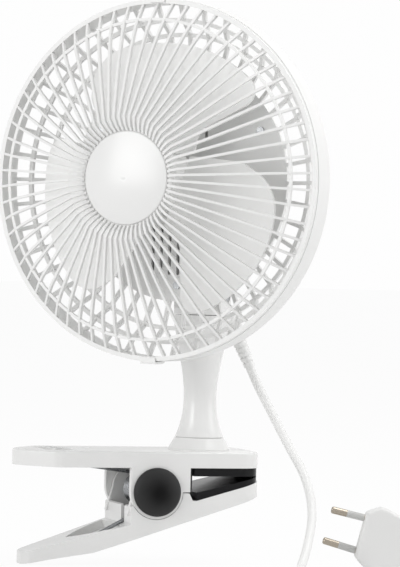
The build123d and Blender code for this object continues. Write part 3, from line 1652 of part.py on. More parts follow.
with BuildPart() as plug_pins:
    with BuildSketch(*[p.offset(-pin_root) for p in pin_planes]):
        Circle(pin_core_radius)
    extrude(amount=pin_root + pin_sleeve)
    with BuildSketch(*[p.offset(pin_sleeve) for p in pin_planes]):
        Circle(pin_radius)
    extrude(amount=pin_length - pin_sleeve)
    tips = plug_pins.faces().sort_by(lambda f: (f.center() - plug_face).dot(pins_way))[-2:]
    fillet([edge for face in tips for edge in face.edges()], 1.2)
plug_pins.part.label = "plug_pins"
export_step(plug_pins.part, "parts/plug_pins.step")
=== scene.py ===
"""Clip fan: finishes, mains cord, clip spring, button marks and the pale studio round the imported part."""

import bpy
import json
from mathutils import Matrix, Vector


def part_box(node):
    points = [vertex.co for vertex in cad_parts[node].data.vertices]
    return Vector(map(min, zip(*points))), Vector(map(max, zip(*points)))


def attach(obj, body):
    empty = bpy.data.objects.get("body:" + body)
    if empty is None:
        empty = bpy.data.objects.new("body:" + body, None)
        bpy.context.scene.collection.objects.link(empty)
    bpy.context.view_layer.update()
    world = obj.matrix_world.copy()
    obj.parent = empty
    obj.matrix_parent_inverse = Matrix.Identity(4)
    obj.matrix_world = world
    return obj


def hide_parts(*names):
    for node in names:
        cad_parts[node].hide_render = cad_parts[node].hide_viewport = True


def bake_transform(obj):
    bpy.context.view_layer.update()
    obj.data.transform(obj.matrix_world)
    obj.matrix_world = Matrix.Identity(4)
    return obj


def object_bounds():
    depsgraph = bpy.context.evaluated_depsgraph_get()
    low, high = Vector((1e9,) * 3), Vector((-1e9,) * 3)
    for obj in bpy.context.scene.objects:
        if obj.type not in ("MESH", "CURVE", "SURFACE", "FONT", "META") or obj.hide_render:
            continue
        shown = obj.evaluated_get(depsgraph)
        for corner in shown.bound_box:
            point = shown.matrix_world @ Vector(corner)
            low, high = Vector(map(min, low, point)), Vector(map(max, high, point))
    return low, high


bl_info = {
    "name": "Clip Fan",
    "version": (1, 0, 0),
    "blender": (4, 5, 0),
    "location": "View3D > Sidebar > Clip Fan",
    "description": "Finishes, cord and studio of a small clip fan",
    "category": "Object",
}

import json
from math import asin, atan, atan2, cos, hypot, pi, radians, sin

import bpy
from bpy.props import FloatProperty, FloatVectorProperty, IntProperty, PointerProperty
from bpy.types import Operator, Panel, PropertyGroup
from mathutils import Matrix, Vector

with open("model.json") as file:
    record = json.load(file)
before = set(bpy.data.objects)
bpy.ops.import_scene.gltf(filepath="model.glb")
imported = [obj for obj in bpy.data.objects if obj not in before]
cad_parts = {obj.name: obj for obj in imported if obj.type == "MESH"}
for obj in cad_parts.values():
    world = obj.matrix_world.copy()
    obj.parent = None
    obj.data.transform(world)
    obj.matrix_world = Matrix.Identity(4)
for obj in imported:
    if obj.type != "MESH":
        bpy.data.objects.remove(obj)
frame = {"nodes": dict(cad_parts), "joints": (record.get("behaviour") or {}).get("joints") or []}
cad_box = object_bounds()
nodes = frame["nodes"]
joints = {joint["name"]: joint for joint in frame["joints"]}
floor_height = cad_box[0].z
up = Vector((0, 0, 1))

# Height of the picture that the camera frames, in pixels.
PICTURE_HEIGHT = 567
# Width of the camera's sensor, in millimetres. The picture is upright, so its height lies along it.
SENSOR = 36.0

# The cord's free runs, in millimetres, as the cord lies: from the neck to the coil, and on to the plug.
ROUTE_TO_COIL = [
    (19.250, 0.0, 60.160),
    (23.445, 0.0, 51.082),
    (28.2, -5.0, 40.0),
    (36.7, -17.0, 18.0),
    (45.0, -27.0, 0.0),
    (45.0, -40.0, -19.0),
    (36.8, -54.0, -36.5),
    (28.0, -68.0, -47.5),
    (14.5, -92.0, -47.5),
    (1.7, -121.3, -47.5),
    (-9.212, -150.366, -47.5),
    (-17.246, -175.093, -47.5),
]
ROUTE_TO_PLUG = [
    (56.936, -199.197, -41.8),
    (63.734, -178.274, -41.8),
    (94.3, -159.6, -46.6),
    (115.9, -138.8, -47.5),
    (134.0, -117.3, -47.5),
    (146.4, -98.0, -47.5),
    (149.0, -80.2, -47.5),
    (143.0, -65.3, -47.2),
    (130.814, -55.990, -45.549),
    (121.586, -52.992, -43.130),
]

# Ends of the clip spring's legs along X and Z, in metres: one in the upper jaw and one in the lower jaw.
SPRING_UPPER_END = (-0.069, 0.00325)
SPRING_LOWER_END = (-0.075, -0.03592)
SPRING_STEP = radians(30)

# A button's digit: its height as a share of the button, and the ink's thickness and lift, in metres.
MARK_SHARE = 0.62
INK_FILM = 0.00003
INK_LIFT = 0.00002

# The studio, in metres: half the floor's width, and the point that the lamps look at.
FLOOR_HALF = 30.0
LAMPS_LOOK_AT = Vector((0, 0, 0.12))
# Each soft lamp's setting, its place to the right, towards the camera and up from that point, and its width.
LAMPS = {
    "left_softbox": ("left_lamp", (-1.35, 1.1, 0.4), 0.8),
    "right_softbox": ("right_lamp", (1.6, 0.35, 0.35), 0.9),
    "top_softbox": ("top_lamp", (0.6, 0.1, 1.5), 1.2),
}
# The floor's own grey, the share of it that the eye sees as plain white, and the white of the room.
FLOOR_PAINT = 0.86
FLOOR_SEEN_WHITE = 0.95
ROOM_SEEN_WHITE = 0.99

# Most of a noise texture lies between these two values.
NOISE_LOW = 0.3
NOISE_HIGH = 0.7
# Width of the clouds that the melt's flow leaves in a moulding, in metres.
FLOW_CLOUD = 0.030
# Index of refraction of the plastics and rubbers, and how little the dull dark ones reflect straight on.
POLYMER_IOR = 1.5
DULL_SPECULAR = 0.12
# How much of its relief each kind of surface shows.
PLASTIC_BUMP = 0.12
RUBBER_BUMP = 0.6
METAL_BUMP = 0.3
RIDGE_BUMP = 0.7
# Height of the patches on worked metal, in metres.
METAL_RELIEF = 0.00001


def linear(code):
    """The linear colour of an sRGB hex code."""
    parts = [int(code[i : i + 2], 16) / 255 for i in (0, 2, 4)]
    return tuple(p / 12.92 if p <= 0.04045 else ((p + 0.055) / 1.055) ** 2.4 for p in parts)


def colour_property(name, description, code):
    """A colour that the user can change, with its default as a hex code."""
    return FloatVectorProperty(
        name=name, description=description, subtype="COLOR", size=3, min=0.0, max=1.0, default=linear(code)
    )


# ---------------------------------------------------------------- what a user would change


class ClipFanFinishes(PropertyGroup):
    """Colours of the fan's finishes."""

    shell: colour_property("Shell", "Moulded clip, neck and fork", "EBEBEA")
    guard: colour_property("Guard", "Rim, ribs and spokes of the guard", "F0F0EF")
    # Painted light: the housing's white is raised above the shell's to lift the shade that the blades cast on
    # it.
    housing: colour_property("Motor housing", "Round shell behind the guard", "F7F7F6")
    badge: colour_property("Badge", "Domed disc in the middle of the guard", "ECECEB")
    # Painted light: the blades' white is raised above the guard's to lift the shade they sit in inside the
    # guard.
    blade: colour_property("Blades", "Blade wheel and its nut", "FCFCFB")
    panel: colour_property("Button panel", "Oval insert round the buttons", "E6E6E5")
    ink: colour_property("Button marks", "Printed digits on the buttons", "8A8C8E")
    pad: colour_property("Grip pads", "Rubber pads of the clip's mouth", "1A1A1B")
    bumper: colour_property("Bumper", "Rubber strip at the back of the mouth", "4C4C4D")
    cap: colour_property("Hinge caps", "Domed caps over the hinge pin", "080809")
    sheath: colour_property("Cord", "Sheath of the mains cord and its relief", "ECECEB")
    # Painted shade: the plug's white is a little greyer than the cord's, for the shade it lies in.
    plug: colour_property("Plug", "Moulded body of the plug", "E4E4E3")
    sleeve: colour_property("Pin sleeves", "Insulating sleeves of the plug's pins", "BEBEBC")


class ClipFanCord(PropertyGroup):
    """Sizes of the mains cord and its coil."""

    diameter: FloatProperty(
        name="Cord diameter", description="Outside diameter of the sheath", unit="LENGTH", default=0.005
    )
    length: FloatProperty(
        name="Cord length", description="Length from the neck to the plug", unit="LENGTH", default=1.80
    )
    coil_radius: FloatProperty(
        name="Coil radius", description="Middle of the coil's outer turn", unit="LENGTH", default=0.039
    )
    coil_pitch: FloatProperty(
        name="Turn pitch", description="Distance between neighbouring turns", unit="LENGTH", default=0.0057
    )
    layer_turns: FloatProperty(
        name="Turns per layer", description="Turns in each of the coil's two layers", default=3.5
    )
    steps: IntProperty(
        name="Points per turn", description="Control points in each turn of the coil", default=14, min=12
    )


class ClipFanSpring(PropertyGroup):
    """Sizes of the clip's torsion spring."""

    wire: FloatProperty(
        name="Wire radius", description="Radius of the spring wire", unit="LENGTH", default=0.0011
    )
    coil: FloatProperty(
        name="Coil radius", description="Middle radius of the winding", unit="LENGTH", default=0.0082
    )
    turns: IntProperty(name="Turns", description="Full turns of the winding", default=6)


class ClipFanStudio(PropertyGroup):
    """Camera and lamps."""

    distance: FloatProperty(
        name="Camera distance", description="From the neck to the camera", unit="LENGTH", default=1.79
    )
    height: FloatProperty(
        name="Camera height", description="Above the clip's grip face", unit="LENGTH", default=0.113
    )
    turn: FloatProperty(
        name="Camera turn", description="About the upright, from looking along +Y", subtype="ANGLE",
        default=radians(18.0),
    )
    roll: FloatProperty(
        name="Camera roll", description="Tilt of the picture", subtype="ANGLE", default=radians(1.5)
    )
    focal: FloatProperty(
        name="Focal length", description="In pixels of the picture", default=3222.0
    )
    horizon: FloatProperty(
        name="Horizon", description="Row of the picture that is level with the camera", default=270.0
    )
    aside: FloatProperty(
        name="Camera aside", description="To the left of the neck", unit="LENGTH", default=0.00168
    )
    sky: FloatProperty(name="Room light", description="Even light from all round", default=0.48)
    left_lamp: FloatProperty(name="Left lamp", description="Power in watts", default=10.5)
    right_lamp: FloatProperty(name="Right lamp", description="Power in watts", default=6.5)
    top_lamp: FloatProperty(name="Top lamp", description="Power in watts", default=14.0)


class ClipFanLook(PropertyGroup):
    """Everything above under one name."""

    finishes: PointerProperty(type=ClipFanFinishes)
    cord: PointerProperty(type=ClipFanCord)
    spring: PointerProperty(type=ClipFanSpring)
    studio: PointerProperty(type=ClipFanStudio)


# ---------------------------------------------------------------- finishes


def add(tree, kind, settings=None, links=None):
    """Adds one shader node with its settings and links."""
    made = tree.nodes.new("ShaderNode" + kind)
    for key, value in (settings or {}).items():
        if isinstance(key, str) and key in made.bl_rna.properties:
            setattr(made, key, value)
        else:
            made.inputs[key].default_value = value
    for key, socket in (links or {}).items():
        tree.links.new(socket, made.inputs[key])
    return made


def blank_material(name):
    """A new material with nothing in it, and its node tree."""
    material = bpy.data.materials.new(name)
    material.use_nodes = True
    material.node_tree.nodes.clear()
    return material, material.node_tree


def shade(colour, factor):
    """The colour made darker or lighter, as four numbers."""
    return (*[min(1.0, part * factor) for part in colour], 1.0)


def moulded_plastic(name, colour, roughness, grain, relief, clouding=0.035, smoother=0.01, rougher=0.015):
    """An injection-moulded plastic: flow clouds from the melt faintly change its colour and its gloss, and
    the tool's eroded texture softens its highlights. grain is the size of that texture in metres: the real
    one is about a tenth of a millimetre, and it is drawn coarser, as it would be too fine to show."""
    material, tree = blank_material(name)
    place = add(tree, "TexCoord").outputs["Object"]
    flow = add(
        tree, "TexNoise", {"Scale": 1 / FLOW_CLOUD, "Detail": 2.0, "Roughness": 0.5}, {"Vector": place}
    )
    tint = add(
        tree, "Mix",
        {"data_type": "RGBA", 6: shade(colour, 1 - clouding), 7: shade(colour, 1 + clouding / 3)},
        {0: flow.outputs["Fac"]},
    )
    gloss = add(
        tree, "MapRange",
        {
            "From Min": NOISE_LOW, "From Max": NOISE_HIGH,
            "To Min": roughness - smoother, "To Max": roughness + rougher,
        },
        {"Value": flow.outputs["Fac"]},
    )
    texture = add(tree, "TexNoise", {"Scale": 1 / grain, "Detail": 1.0}, {"Vector": place})
    bump = add(
        tree, "Bump", {"Strength": PLASTIC_BUMP, "Distance": relief}, {"Height": texture.outputs["Fac"]}
    )
    shader = add(
        tree, "BsdfPrincipled", {"IOR": POLYMER_IOR},
        {"Base Color": tint.outputs[2], "Roughness": gloss.outputs[0], "Normal": bump.outputs[0]},
    )
    add(tree, "OutputMaterial", links={"Surface": shader.outputs[0]})
    return material


def moulded_rubber(name, colour, roughness, grain, relief, dark=0.75, dusty=1.35):
    """A dense moulded rubber: nearly black, with hardly any sheen and a dusty mottle in its grain, whose
    size is given in metres and drawn as coarse as it needs to show."""
    material, tree = blank_material(name)
    place = add(tree, "TexCoord").outputs["Object"]
    crumb = add(tree, "TexNoise", {"Scale": 1 / grain, "Detail": 4.0}, {"Vector": place})
    tint = add(
        tree, "Mix", {"data_type": "RGBA", 6: shade(colour, dark), 7: shade(colour, dusty)},
        {0: crumb.outputs["Fac"]},
    )
    bump = add(tree, "Bump", {"Strength": RUBBER_BUMP, "Distance": relief}, {"Height": crumb.outputs["Fac"]})
    shader = add(
        tree, "BsdfPrincipled",
        {"IOR": POLYMER_IOR, "Roughness": roughness, "Specular IOR Level": DULL_SPECULAR},
        {"Base Color": tint.outputs[2], "Normal": bump.outputs[0]},
    )
    add(tree, "OutputMaterial", links={"Surface": shader.outputs[0]})
    return material


def handled_cap(name, colour, centre, radius, stray=0.0012, patch=0.004, painted_sheen=0.035):
    """A dark moulded cap round an axis along Y: its middle is dark and glossy, and towards its edge it turns
    duller and a painted sheen makes it greyer. The change strays in and out by this far, in patches of this
    size, and the painted sheen adds this much to the colour."""
    material, tree = blank_material(name)
    place = add(tree, "TexCoord").outputs["Object"]
    level = add(tree, "VectorMath", {"operation": "MULTIPLY", 1: (1, 0, 1)}, {0: place})
    middle = (centre[0], 0, centre[2])
    reach = add(tree, "VectorMath", {"operation": "DISTANCE", 1: middle}, {0: level.outputs[0]})
    sheen_edge_noise = add(tree, "TexNoise", {"Scale": 1 / patch, "Detail": 1.0}, {"Vector": place})
    wander = add(
        tree, "Math", {"operation": "MULTIPLY_ADD", 1: stray},
        {0: sheen_edge_noise.outputs["Fac"], 2: reach.outputs["Value"]},
    )
    sheen_and_dulling = add(
        tree, "MapRange",
        {"interpolation_type": "SMOOTHSTEP", "From Min": radius * 0.1, "From Max": radius * 1.1},
        {"Value": wander.outputs[0]},
    )
    # Painted sheen: the colour turns paler towards the cap's edge.
    tint = add(
        tree, "Mix", {"data_type": "RGBA", 6: (*colour, 1.0), 7: (*[part + painted_sheen for part in colour], 1.0)},
        {0: sheen_and_dulling.outputs[0]},
    )
    gloss = add(tree, "MapRange", {"To Min": 0.28, "To Max": 0.5}, {"Value": sheen_and_dulling.outputs[0]})
    shader = add(
        tree, "BsdfPrincipled", {"IOR": POLYMER_IOR, "Specular IOR Level": DULL_SPECULAR},
        {"Base Color": tint.outputs[2], "Roughness": gloss.outputs[0]},
    )
    add(tree, "OutputMaterial", links={"Surface": shader.outputs[0]})
    return material


def worked_metal(name, colour, roughness, stroke, dark=0.86, pale=1.06, smoother=0.06, rougher=0.1):
    """A bare or plated metal: a clear reflection with fine patches from how it was drawn, rolled or plated.
    stroke is the width of a patch in metres."""
    material, tree = blank_material(name)
    place = add(tree, "TexCoord").outputs["Object"]
    patch = add(tree, "TexNoise", {"Scale": 1 / stroke, "Detail": 3.0}, {"Vector": place})
    tint = add(
        tree, "Mix", {"data_type": "RGBA", 6: shade(colour, dark), 7: shade(colour, pale)},
        {0: patch.outputs["Fac"]},
    )
    gloss = add(
        tree, "MapRange",
        {
            "From Min": NOISE_LOW, "From Max": NOISE_HIGH,
            "To Min": roughness - smoother, "To Max": roughness + rougher,
        },
        {"Value": patch.outputs["Fac"]},
    )
    bump = add(
        tree, "Bump", {"Strength": METAL_BUMP, "Distance": METAL_RELIEF}, {"Height": patch.outputs["Fac"]}
    )
    shader = add(
        tree, "BsdfPrincipled", {"Metallic": 1.0},
        {"Base Color": tint.outputs[2], "Roughness": gloss.outputs[0], "Normal": bump.outputs[0]},
    )
    add(tree, "OutputMaterial", links={"Surface": shader.outputs[0]})
    return material


def layered(name, colours, direction, pitch, roughness, metallic):
    """A stack of sheets or a winding of wire: fine ridges, one pitch apart, across this direction. The
    valleys take the first, darker colour: between sheets it is the dark joint, and between turns of wire it
    is painted shade.
    """
    material, tree = blank_material(name)
    place = add(tree, "TexCoord").outputs["Object"]
    along = add(tree, "VectorMath", {"operation": "DOT_PRODUCT", 1: direction}, {0: place})
    turns = add(tree, "Math", {"operation": "MULTIPLY", 1: 2 * pi / pitch}, {0: along.outputs["Value"]})
    wave = add(tree, "Math", {"operation": "SINE"}, {0: turns.outputs[0]})
    ridge = add(tree, "MapRange", {"From Min": -1.0, "From Max": 1.0}, {"Value": wave.outputs[0]})
    valley, crest = colours
    tint = add(
        tree, "Mix", {"data_type": "RGBA", 6: (*valley, 1.0), 7: (*crest, 1.0)}, {0: ridge.outputs[0]}
    )
    bump = add(tree, "Bump", {"Strength": RIDGE_BUMP, "Distance": pitch / 4}, {"Height": ridge.outputs[0]})
    shader = add(
        tree, "BsdfPrincipled", {"Roughness": roughness, "Metallic": metallic},
        {"Base Color": tint.outputs[2], "Normal": bump.outputs[0]},
    )
    add(tree, "OutputMaterial", links={"Surface": shader.outputs[0]})
    return material


def finish(material, *names):
    """Gives CAD nodes this material."""
    for name in names:
        nodes[name].data.materials.clear()
        nodes[name].data.materials.append(material)


# ---------------------------------------------------------------- shapes


def camera_sides(turn):
    """The level directions towards a camera that is turned by this angle, and to its right."""
    return Vector((-sin(turn), -cos(turn), 0)), Vector((cos(turn), -sin(turn), 0))


def tube(name, points, radius, material, resolution=8, sides=5):
    """A round tube on one smooth curve that these points, in metres, draw it towards."""
    curve = bpy.data.curves.new(name, "CURVE")
    curve.dimensions = "3D"
    spline = curve.splines.new("NURBS")
    spline.points.add(len(points) - 1)
    for control, place in zip(spline.points, points):
        control.co = (*place, 1.0)
    spline.order_u = 3
    spline.use_endpoint_u = True
    spline.resolution_u = resolution
    curve.bevel_depth = radius
    curve.bevel_resolution = sides
    curve.use_fill_caps = True
    curve.materials.append(material)
    made = bpy.data.objects.new(name, curve)
    bpy.context.scene.collection.objects.link(made)
    return made


def as_mesh(piece):
    """The piece as a plain mesh object of the same name."""
    name = piece.name
    graph = bpy.context.evaluated_depsgraph_get()
    mesh = bpy.data.meshes.new_from_object(piece.evaluated_get(graph))
    bpy.data.objects.remove(piece)
    mesh.name = name
    mesh.polygons.foreach_set("use_smooth", [True] * len(mesh.polygons))
    made = bpy.data.objects.new(name, mesh)
    bpy.context.scene.collection.objects.link(made)
    return made


def coil_points(cord, turn_out):
    """Control points of the coil: two layers of turns side by side, the lower one wound inwards and the
    upper one outwards. Each point stands out so that the curve between keeps the turn's radius."""
    towards, rightwards = camera_sides(turn_out)
    entry = Vector(ROUTE_TO_COIL[-1]) / 1000
    # The cord runs straight on for its own thickness before it starts to turn.
    centre = entry + towards * cord.diameter + rightwards * cord.coil_radius
    layer_sweep = 2 * pi * cord.layer_turns
    whole_sweep = 2 * layer_sweep + pi
    pull = cord.coil_pitch / (2 * pi)
    step = 2 * pi / cord.steps
    points = []
    for i in range(round(whole_sweep / step)):
        turn = (i + 0.5) * step
        past = turn - layer_sweep
        if past <= 0:
            reach = cord.coil_radius - pull * turn
            rise = 0.0
        elif past <= pi:
            reach = cord.coil_radius - pull * (layer_sweep + past - past * past / pi)
            rise = cord.coil_pitch * (1 - cos(past)) / 2
        else:
            reach = cord.coil_radius - pull * (whole_sweep - turn)
            rise = cord.coil_pitch
        outward = rightwards * -cos(turn) + towards * sin(turn)
        points.append(centre + outward * (reach / cos(step / 2)) + up * rise)
    return points


def softbox(name, place, target, size, power):
    """A square soft lamp that looks at a point."""
    lamp = bpy.data.lights.new(name, "AREA")
    lamp.size = size
    lamp.energy = power
    made = bpy.data.objects.new(name, lamp)
    made.location = place
    made.rotation_euler = (target - place).to_track_quat("-Z", "Y").to_euler()
    bpy.context.scene.collection.objects.link(made)
    return made


def seen_white(tree):
    """1 where the camera looks straight at a surface, or sees it in a reflection or through glass."""
    path = add(tree, "LightPath")
    either = add(
        tree, "Math", {"operation": "MAXIMUM"},
        {0: path.outputs["Is Camera Ray"], 1: path.outputs["Is Glossy Ray"]},
    )
    any_of = add(
        tree, "Math", {"operation": "MAXIMUM"}, {0: either.outputs[0], 1: path.outputs["Is Transmission Ray"]}
    )
    return any_of.outputs[0]


# ---------------------------------------------------------------- operators


class CLIPFAN_OT_camera(Operator):
    """Places the camera: level with the guard, in front and to the left of the clip"""

    bl_idname = "clip_fan.camera"
    bl_label = "Camera"

    def execute(self, context):
        studio = context.scene.clip_fan.studio
        neck = Vector(joints["swivel"]["pos_m"])
        towards, rightwards = camera_sides(studio.turn)
        pitch = atan((PICTURE_HEIGHT / 2 - studio.horizon) / studio.focal)
        back = towards * cos(pitch) + up * sin(pitch)
        above = back.cross(rightwards)
        across = rightwards * cos(studio.roll) + above * sin(studio.roll)
        over = back.cross(across)
        camera = bpy.data.cameras.new("picture_camera")
        camera.sensor_width = SENSOR
        camera.lens = studio.focal * SENSOR / PICTURE_HEIGHT
        camera.clip_end = 100.0
        made = bpy.data.objects.new("picture_camera", camera)
        foot = Vector((neck.x, neck.y, studio.height))
        stand = foot + towards * studio.distance - rightwards * studio.aside
        made.matrix_world = Matrix.Translation(stand) @ Matrix((across, over, back)).transposed().to_4x4()
        context.scene.collection.objects.link(made)
        context.scene.camera = made
        return {"FINISHED"}


class CLIPFAN_OT_stage(Operator):
    """Builds the pale floor, the white room and three soft lamps"""

    bl_idname = "clip_fan.stage"
    bl_label = "Stage"

    def execute(self, context):
        studio = context.scene.clip_fan.studio
        context.scene.view_settings.view_transform = "Standard"
        # Matt white paint: it takes the object's soft shadow and otherwise melts into the white room.
        paint, tree = blank_material("matt_white_floor_paint")
        plain = add(tree, "BsdfDiffuse", {"Color": (FLOOR_PAINT, FLOOR_PAINT, FLOOR_PAINT, 1.0)})
        lit = add(tree, "Emission", {"Color": (1.0, 1.0, 1.0, 1.0), "Strength": 1.0})
        share = add(tree, "Math", {"operation": "MULTIPLY", 1: FLOOR_SEEN_WHITE}, {0: seen_white(tree)})
        both = add(tree, "MixShader", links={0: share.outputs[0], 1: plain.outputs[0], 2: lit.outputs[0]})
        add(tree, "OutputMaterial", links={"Surface": both.outputs[0]})
        sides = (-FLOOR_HALF, FLOOR_HALF)
        corners = [(sides[0], sides[0]), (sides[1], sides[0]), (sides[1], sides[1]), (sides[0], sides[1])]
        mesh = bpy.data.meshes.new("floor")
        mesh.from_pydata([(x, y, floor_height) for x, y in corners], [], [(0, 1, 2, 3)])
        mesh.materials.append(paint)
        floor = bpy.data.objects.new("floor", mesh)
        context.scene.collection.objects.link(floor)
        world = bpy.data.worlds.new("white_room")
        world.use_nodes = True
        tree = world.node_tree
        tree.nodes.clear()
        room = add(tree, "Background", {"Color": (1.0, 1.0, 1.0, 1.0), "Strength": studio.sky})
        white = (ROOM_SEEN_WHITE, ROOM_SEEN_WHITE, ROOM_SEEN_WHITE, 1.0)
        seen = add(tree, "Background", {"Color": white, "Strength": 1.0})
        both = add(tree, "MixShader", links={0: seen_white(tree), 1: room.outputs[0], 2: seen.outputs[0]})
        add(tree, "OutputWorld", links={"Surface": both.outputs[0]})
        context.scene.world = world
        towards, rightwards = camera_sides(studio.turn)
        for name, (setting, (right, near, above), width) in LAMPS.items():
            place = LAMPS_LOOK_AT + rightwards * right + towards * near + up * above
            softbox(name, place, LAMPS_LOOK_AT, width, getattr(studio, setting))
        return {"FINISHED"}


class CLIPFAN_OT_cord(Operator):
    """Lays the mains cord: from the neck down to the floor, round its coil and on to the plug"""

    bl_idname = "clip_fan.cord"
    bl_label = "Mains cord"

    def execute(self, context):
        look = context.scene.clip_fan
        cord = look.cord
        # Soft PVC sheath, extruded: satin, with the slow waves that the draw-off leaves.
        sheath = moulded_plastic(
            "extruded_pvc_sheath", look.finishes.sheath,
            roughness=0.42, grain=0.009, relief=0.00001, clouding=0.02,
        )
        route = [Vector(point) / 1000 for point in ROUTE_TO_COIL]
        route += coil_points(cord, look.studio.turn)
        route += [Vector(point) / 1000 for point in ROUTE_TO_PLUG]
        mains_cord = tube("mains_cord", route, cord.diameter / 2, sheath)
        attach(mains_cord, "base")
        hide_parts("power_cord", "cord_coil", "power_cord_tail")
        finish(sheath, "cord_gland")
        return {"FINISHED"}


class CLIPFAN_OT_plug(Operator):
    """Finishes the plug, its relief, the pin sleeves and the pins"""

    bl_idname = "clip_fan.plug"
    bl_label = "Plug"

    def execute(self, context):
        finishes = context.scene.clip_fan.finishes
        # PVC moulded over the cord's end: softer gloss than the shell. Its colour is painted a little greyer
        # than the cord's, as painted shade.
        body = moulded_plastic(
            "overmoulded_pvc", finishes.plug, roughness=0.5, grain=0.0016, relief=0.00004
        )
        finish(body, "plug_body", "plug_relief")
        # Nylon sleeves: a greyer, duller white.
        sleeve = moulded_plastic(
            "nylon_sleeve", finishes.sleeve, roughness=0.5, grain=0.0012, relief=0.00002
        )
        finish(sleeve, "plug_sleeves")
        # Nickel-plated brass: a warm grey with a bright, slightly patchy plating.
        plating = worked_metal("nickel_plated_brass", linear("A89F92"), roughness=0.24, stroke=0.0015)
        finish(plating, "plug_pins")
        return {"FINISHED"}


class CLIPFAN_OT_clip(Operator):
    """Finishes the clip: both jaws, cover, collar, pads, bumper and hinge caps"""

    bl_idname = "clip_fan.clip"
    bl_label = "Clip"

    def execute(self, context):
        finishes = context.scene.clip_fan.finishes
        # ABS from a lightly eroded mould: satin, soft highlights along the rounded edges.
        shell = moulded_plastic(
            "satin_abs_shell", finishes.shell, roughness=0.26, grain=0.0028, relief=0.00001
        )
        finish(shell, "upper_jaw", "lower_jaw", "base_cover", "base_collar")
        # Moulded rubber: smooth and dark where boards rub it.
        pad = moulded_rubber("grip_pad_rubber", finishes.pad, roughness=0.22, grain=0.0012, relief=0.00001)
        finish(pad, "upper_pad", "lower_pad")
        # A softer rubber: paler, dull and slightly dusty.
        bumper = moulded_rubber(
            "bumper_rubber", finishes.bumper, roughness=0.6, grain=0.0012, relief=0.00004
        )
        finish(bumper, "throat_bumper")
        # Black ABS: glossy in the middle and duller towards the edge, where a painted sheen makes it greyer.
        low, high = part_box("hinge_cap_near")
        cap = handled_cap("black_abs_cap", finishes.cap, joints["clip_hinge"]["pos_m"], (high.x - low.x) / 2)
        finish(cap, "hinge_cap_near", "hinge_cap_far")
        return {"FINISHED"}


class CLIPFAN_OT_buttons(Operator):
    """Finishes the switch, its panel and the three buttons, and prints a digit on each button"""

    bl_idname = "clip_fan.buttons"
    bl_label = "Buttons"

    def execute(self, context):
        finishes = context.scene.clip_fan.finishes
        # ABS with a coarser erosion than the shell's: matt, so that the buttons stand out.
        panel = moulded_plastic(
            "matt_abs_panel", finishes.panel, roughness=0.55, grain=0.0010, relief=0.00003
        )
        finish(panel, "button_panel")
        # ABS from a polished mould: bright highlights on the caps.
        button = moulded_plastic(
            "gloss_abs_button", finishes.shell, roughness=0.3, grain=0.0010, relief=0.00001
        )
        buttons = ("button_off", "button_low", "button_high")
        finish(button, *buttons)
        # Black nylon: dull and dark inside the handle.
        switch = moulded_plastic(
            "black_switch_nylon", linear("1A1A1B"), roughness=0.5, grain=0.0010, relief=0.00002
        )
        finish(switch, "switch_body")
        # Pad-printed ink: a thin flat grey film.
        ink = moulded_plastic("printed_grey_ink", finishes.ink, roughness=0.6, grain=0.0008, relief=0.00001)
        # The digits are read from the handle's end, so their tops point along +X.
        reading = Matrix(((0, 1, 0), (-1, 0, 0), (0, 0, 1))).to_4x4()
        for digit, name in enumerate(buttons):
            low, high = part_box(name)
            mark = bpy.data.curves.new(name + "_mark", "FONT")
            mark.body = str(digit)
            mark.align_x = "CENTER"
            mark.align_y = "CENTER"
            mark.size = MARK_SHARE * (high.y - low.y)
            mark.extrude = INK_FILM
            mark.materials.append(ink)
            made = bpy.data.objects.new(name + "_mark", mark)
            middle = (low + high) / 2
            made.matrix_world = Matrix.Translation((middle.x, middle.y, high.z + INK_LIFT)) @ reading
            context.scene.collection.objects.link(made)
            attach(made, name)
        return {"FINISHED"}


class CLIPFAN_OT_neck(Operator):
    """Finishes the neck's two halves and the tilting fork"""

    bl_idname = "clip_fan.neck"
    bl_label = "Neck"

    def execute(self, context):
        finishes = context.scene.clip_fan.finishes
        # The same ABS as the clip, from a slightly more polished mould.
        neck = moulded_plastic("satin_abs_neck", finishes.shell, roughness=0.24, grain=0.0028, relief=0.00001)
        finish(neck, "neck_shell_front", "neck_shell_rear", "tilt_yoke")
        return {"FINISHED"}


class CLIPFAN_OT_guard(Operator):
    """Finishes the guard: rim, ribs, spokes, clips and badge"""

    bl_idname = "clip_fan.guard"
    bl_label = "Guard"

    def execute(self, context):
        finishes = context.scene.clip_fan.finishes
        # Polypropylene: waxier than ABS, with cloudier flow where the thin ribs filled.
        guard = moulded_plastic(
            "polypropylene_guard", finishes.guard, roughness=0.4, grain=0.0014, relief=0.00002, clouding=0.045
        )
        finish(guard, "front_grille", "rear_grille", "grille_clips")
        # ABS from a polished mould: a broad bright highlight on the dome.
        badge = moulded_plastic(
            "gloss_abs_badge", finishes.badge, roughness=0.24, grain=0.0030, relief=0.00001, clouding=0.02
        )
        finish(badge, "centre_badge")
        return {"FINISHED"}


class CLIPFAN_OT_blades(Operator):
    """Finishes the blade wheel and its nut"""

    bl_idname = "clip_fan.blades"
    bl_label = "Blades"

    def execute(self, context):
        finishes = context.scene.clip_fan.finishes
        # Styrene acrylonitrile: thin and glossy, and painted a shade whiter than the guard, as painted light
        # in the shade inside the guard.
        blade = moulded_plastic(
            "gloss_san_blade", finishes.blade, roughness=0.22, grain=0.0018, relief=0.00001
        )
        finish(blade, "fan_blade", "blade_nut")
        return {"FINISHED"}


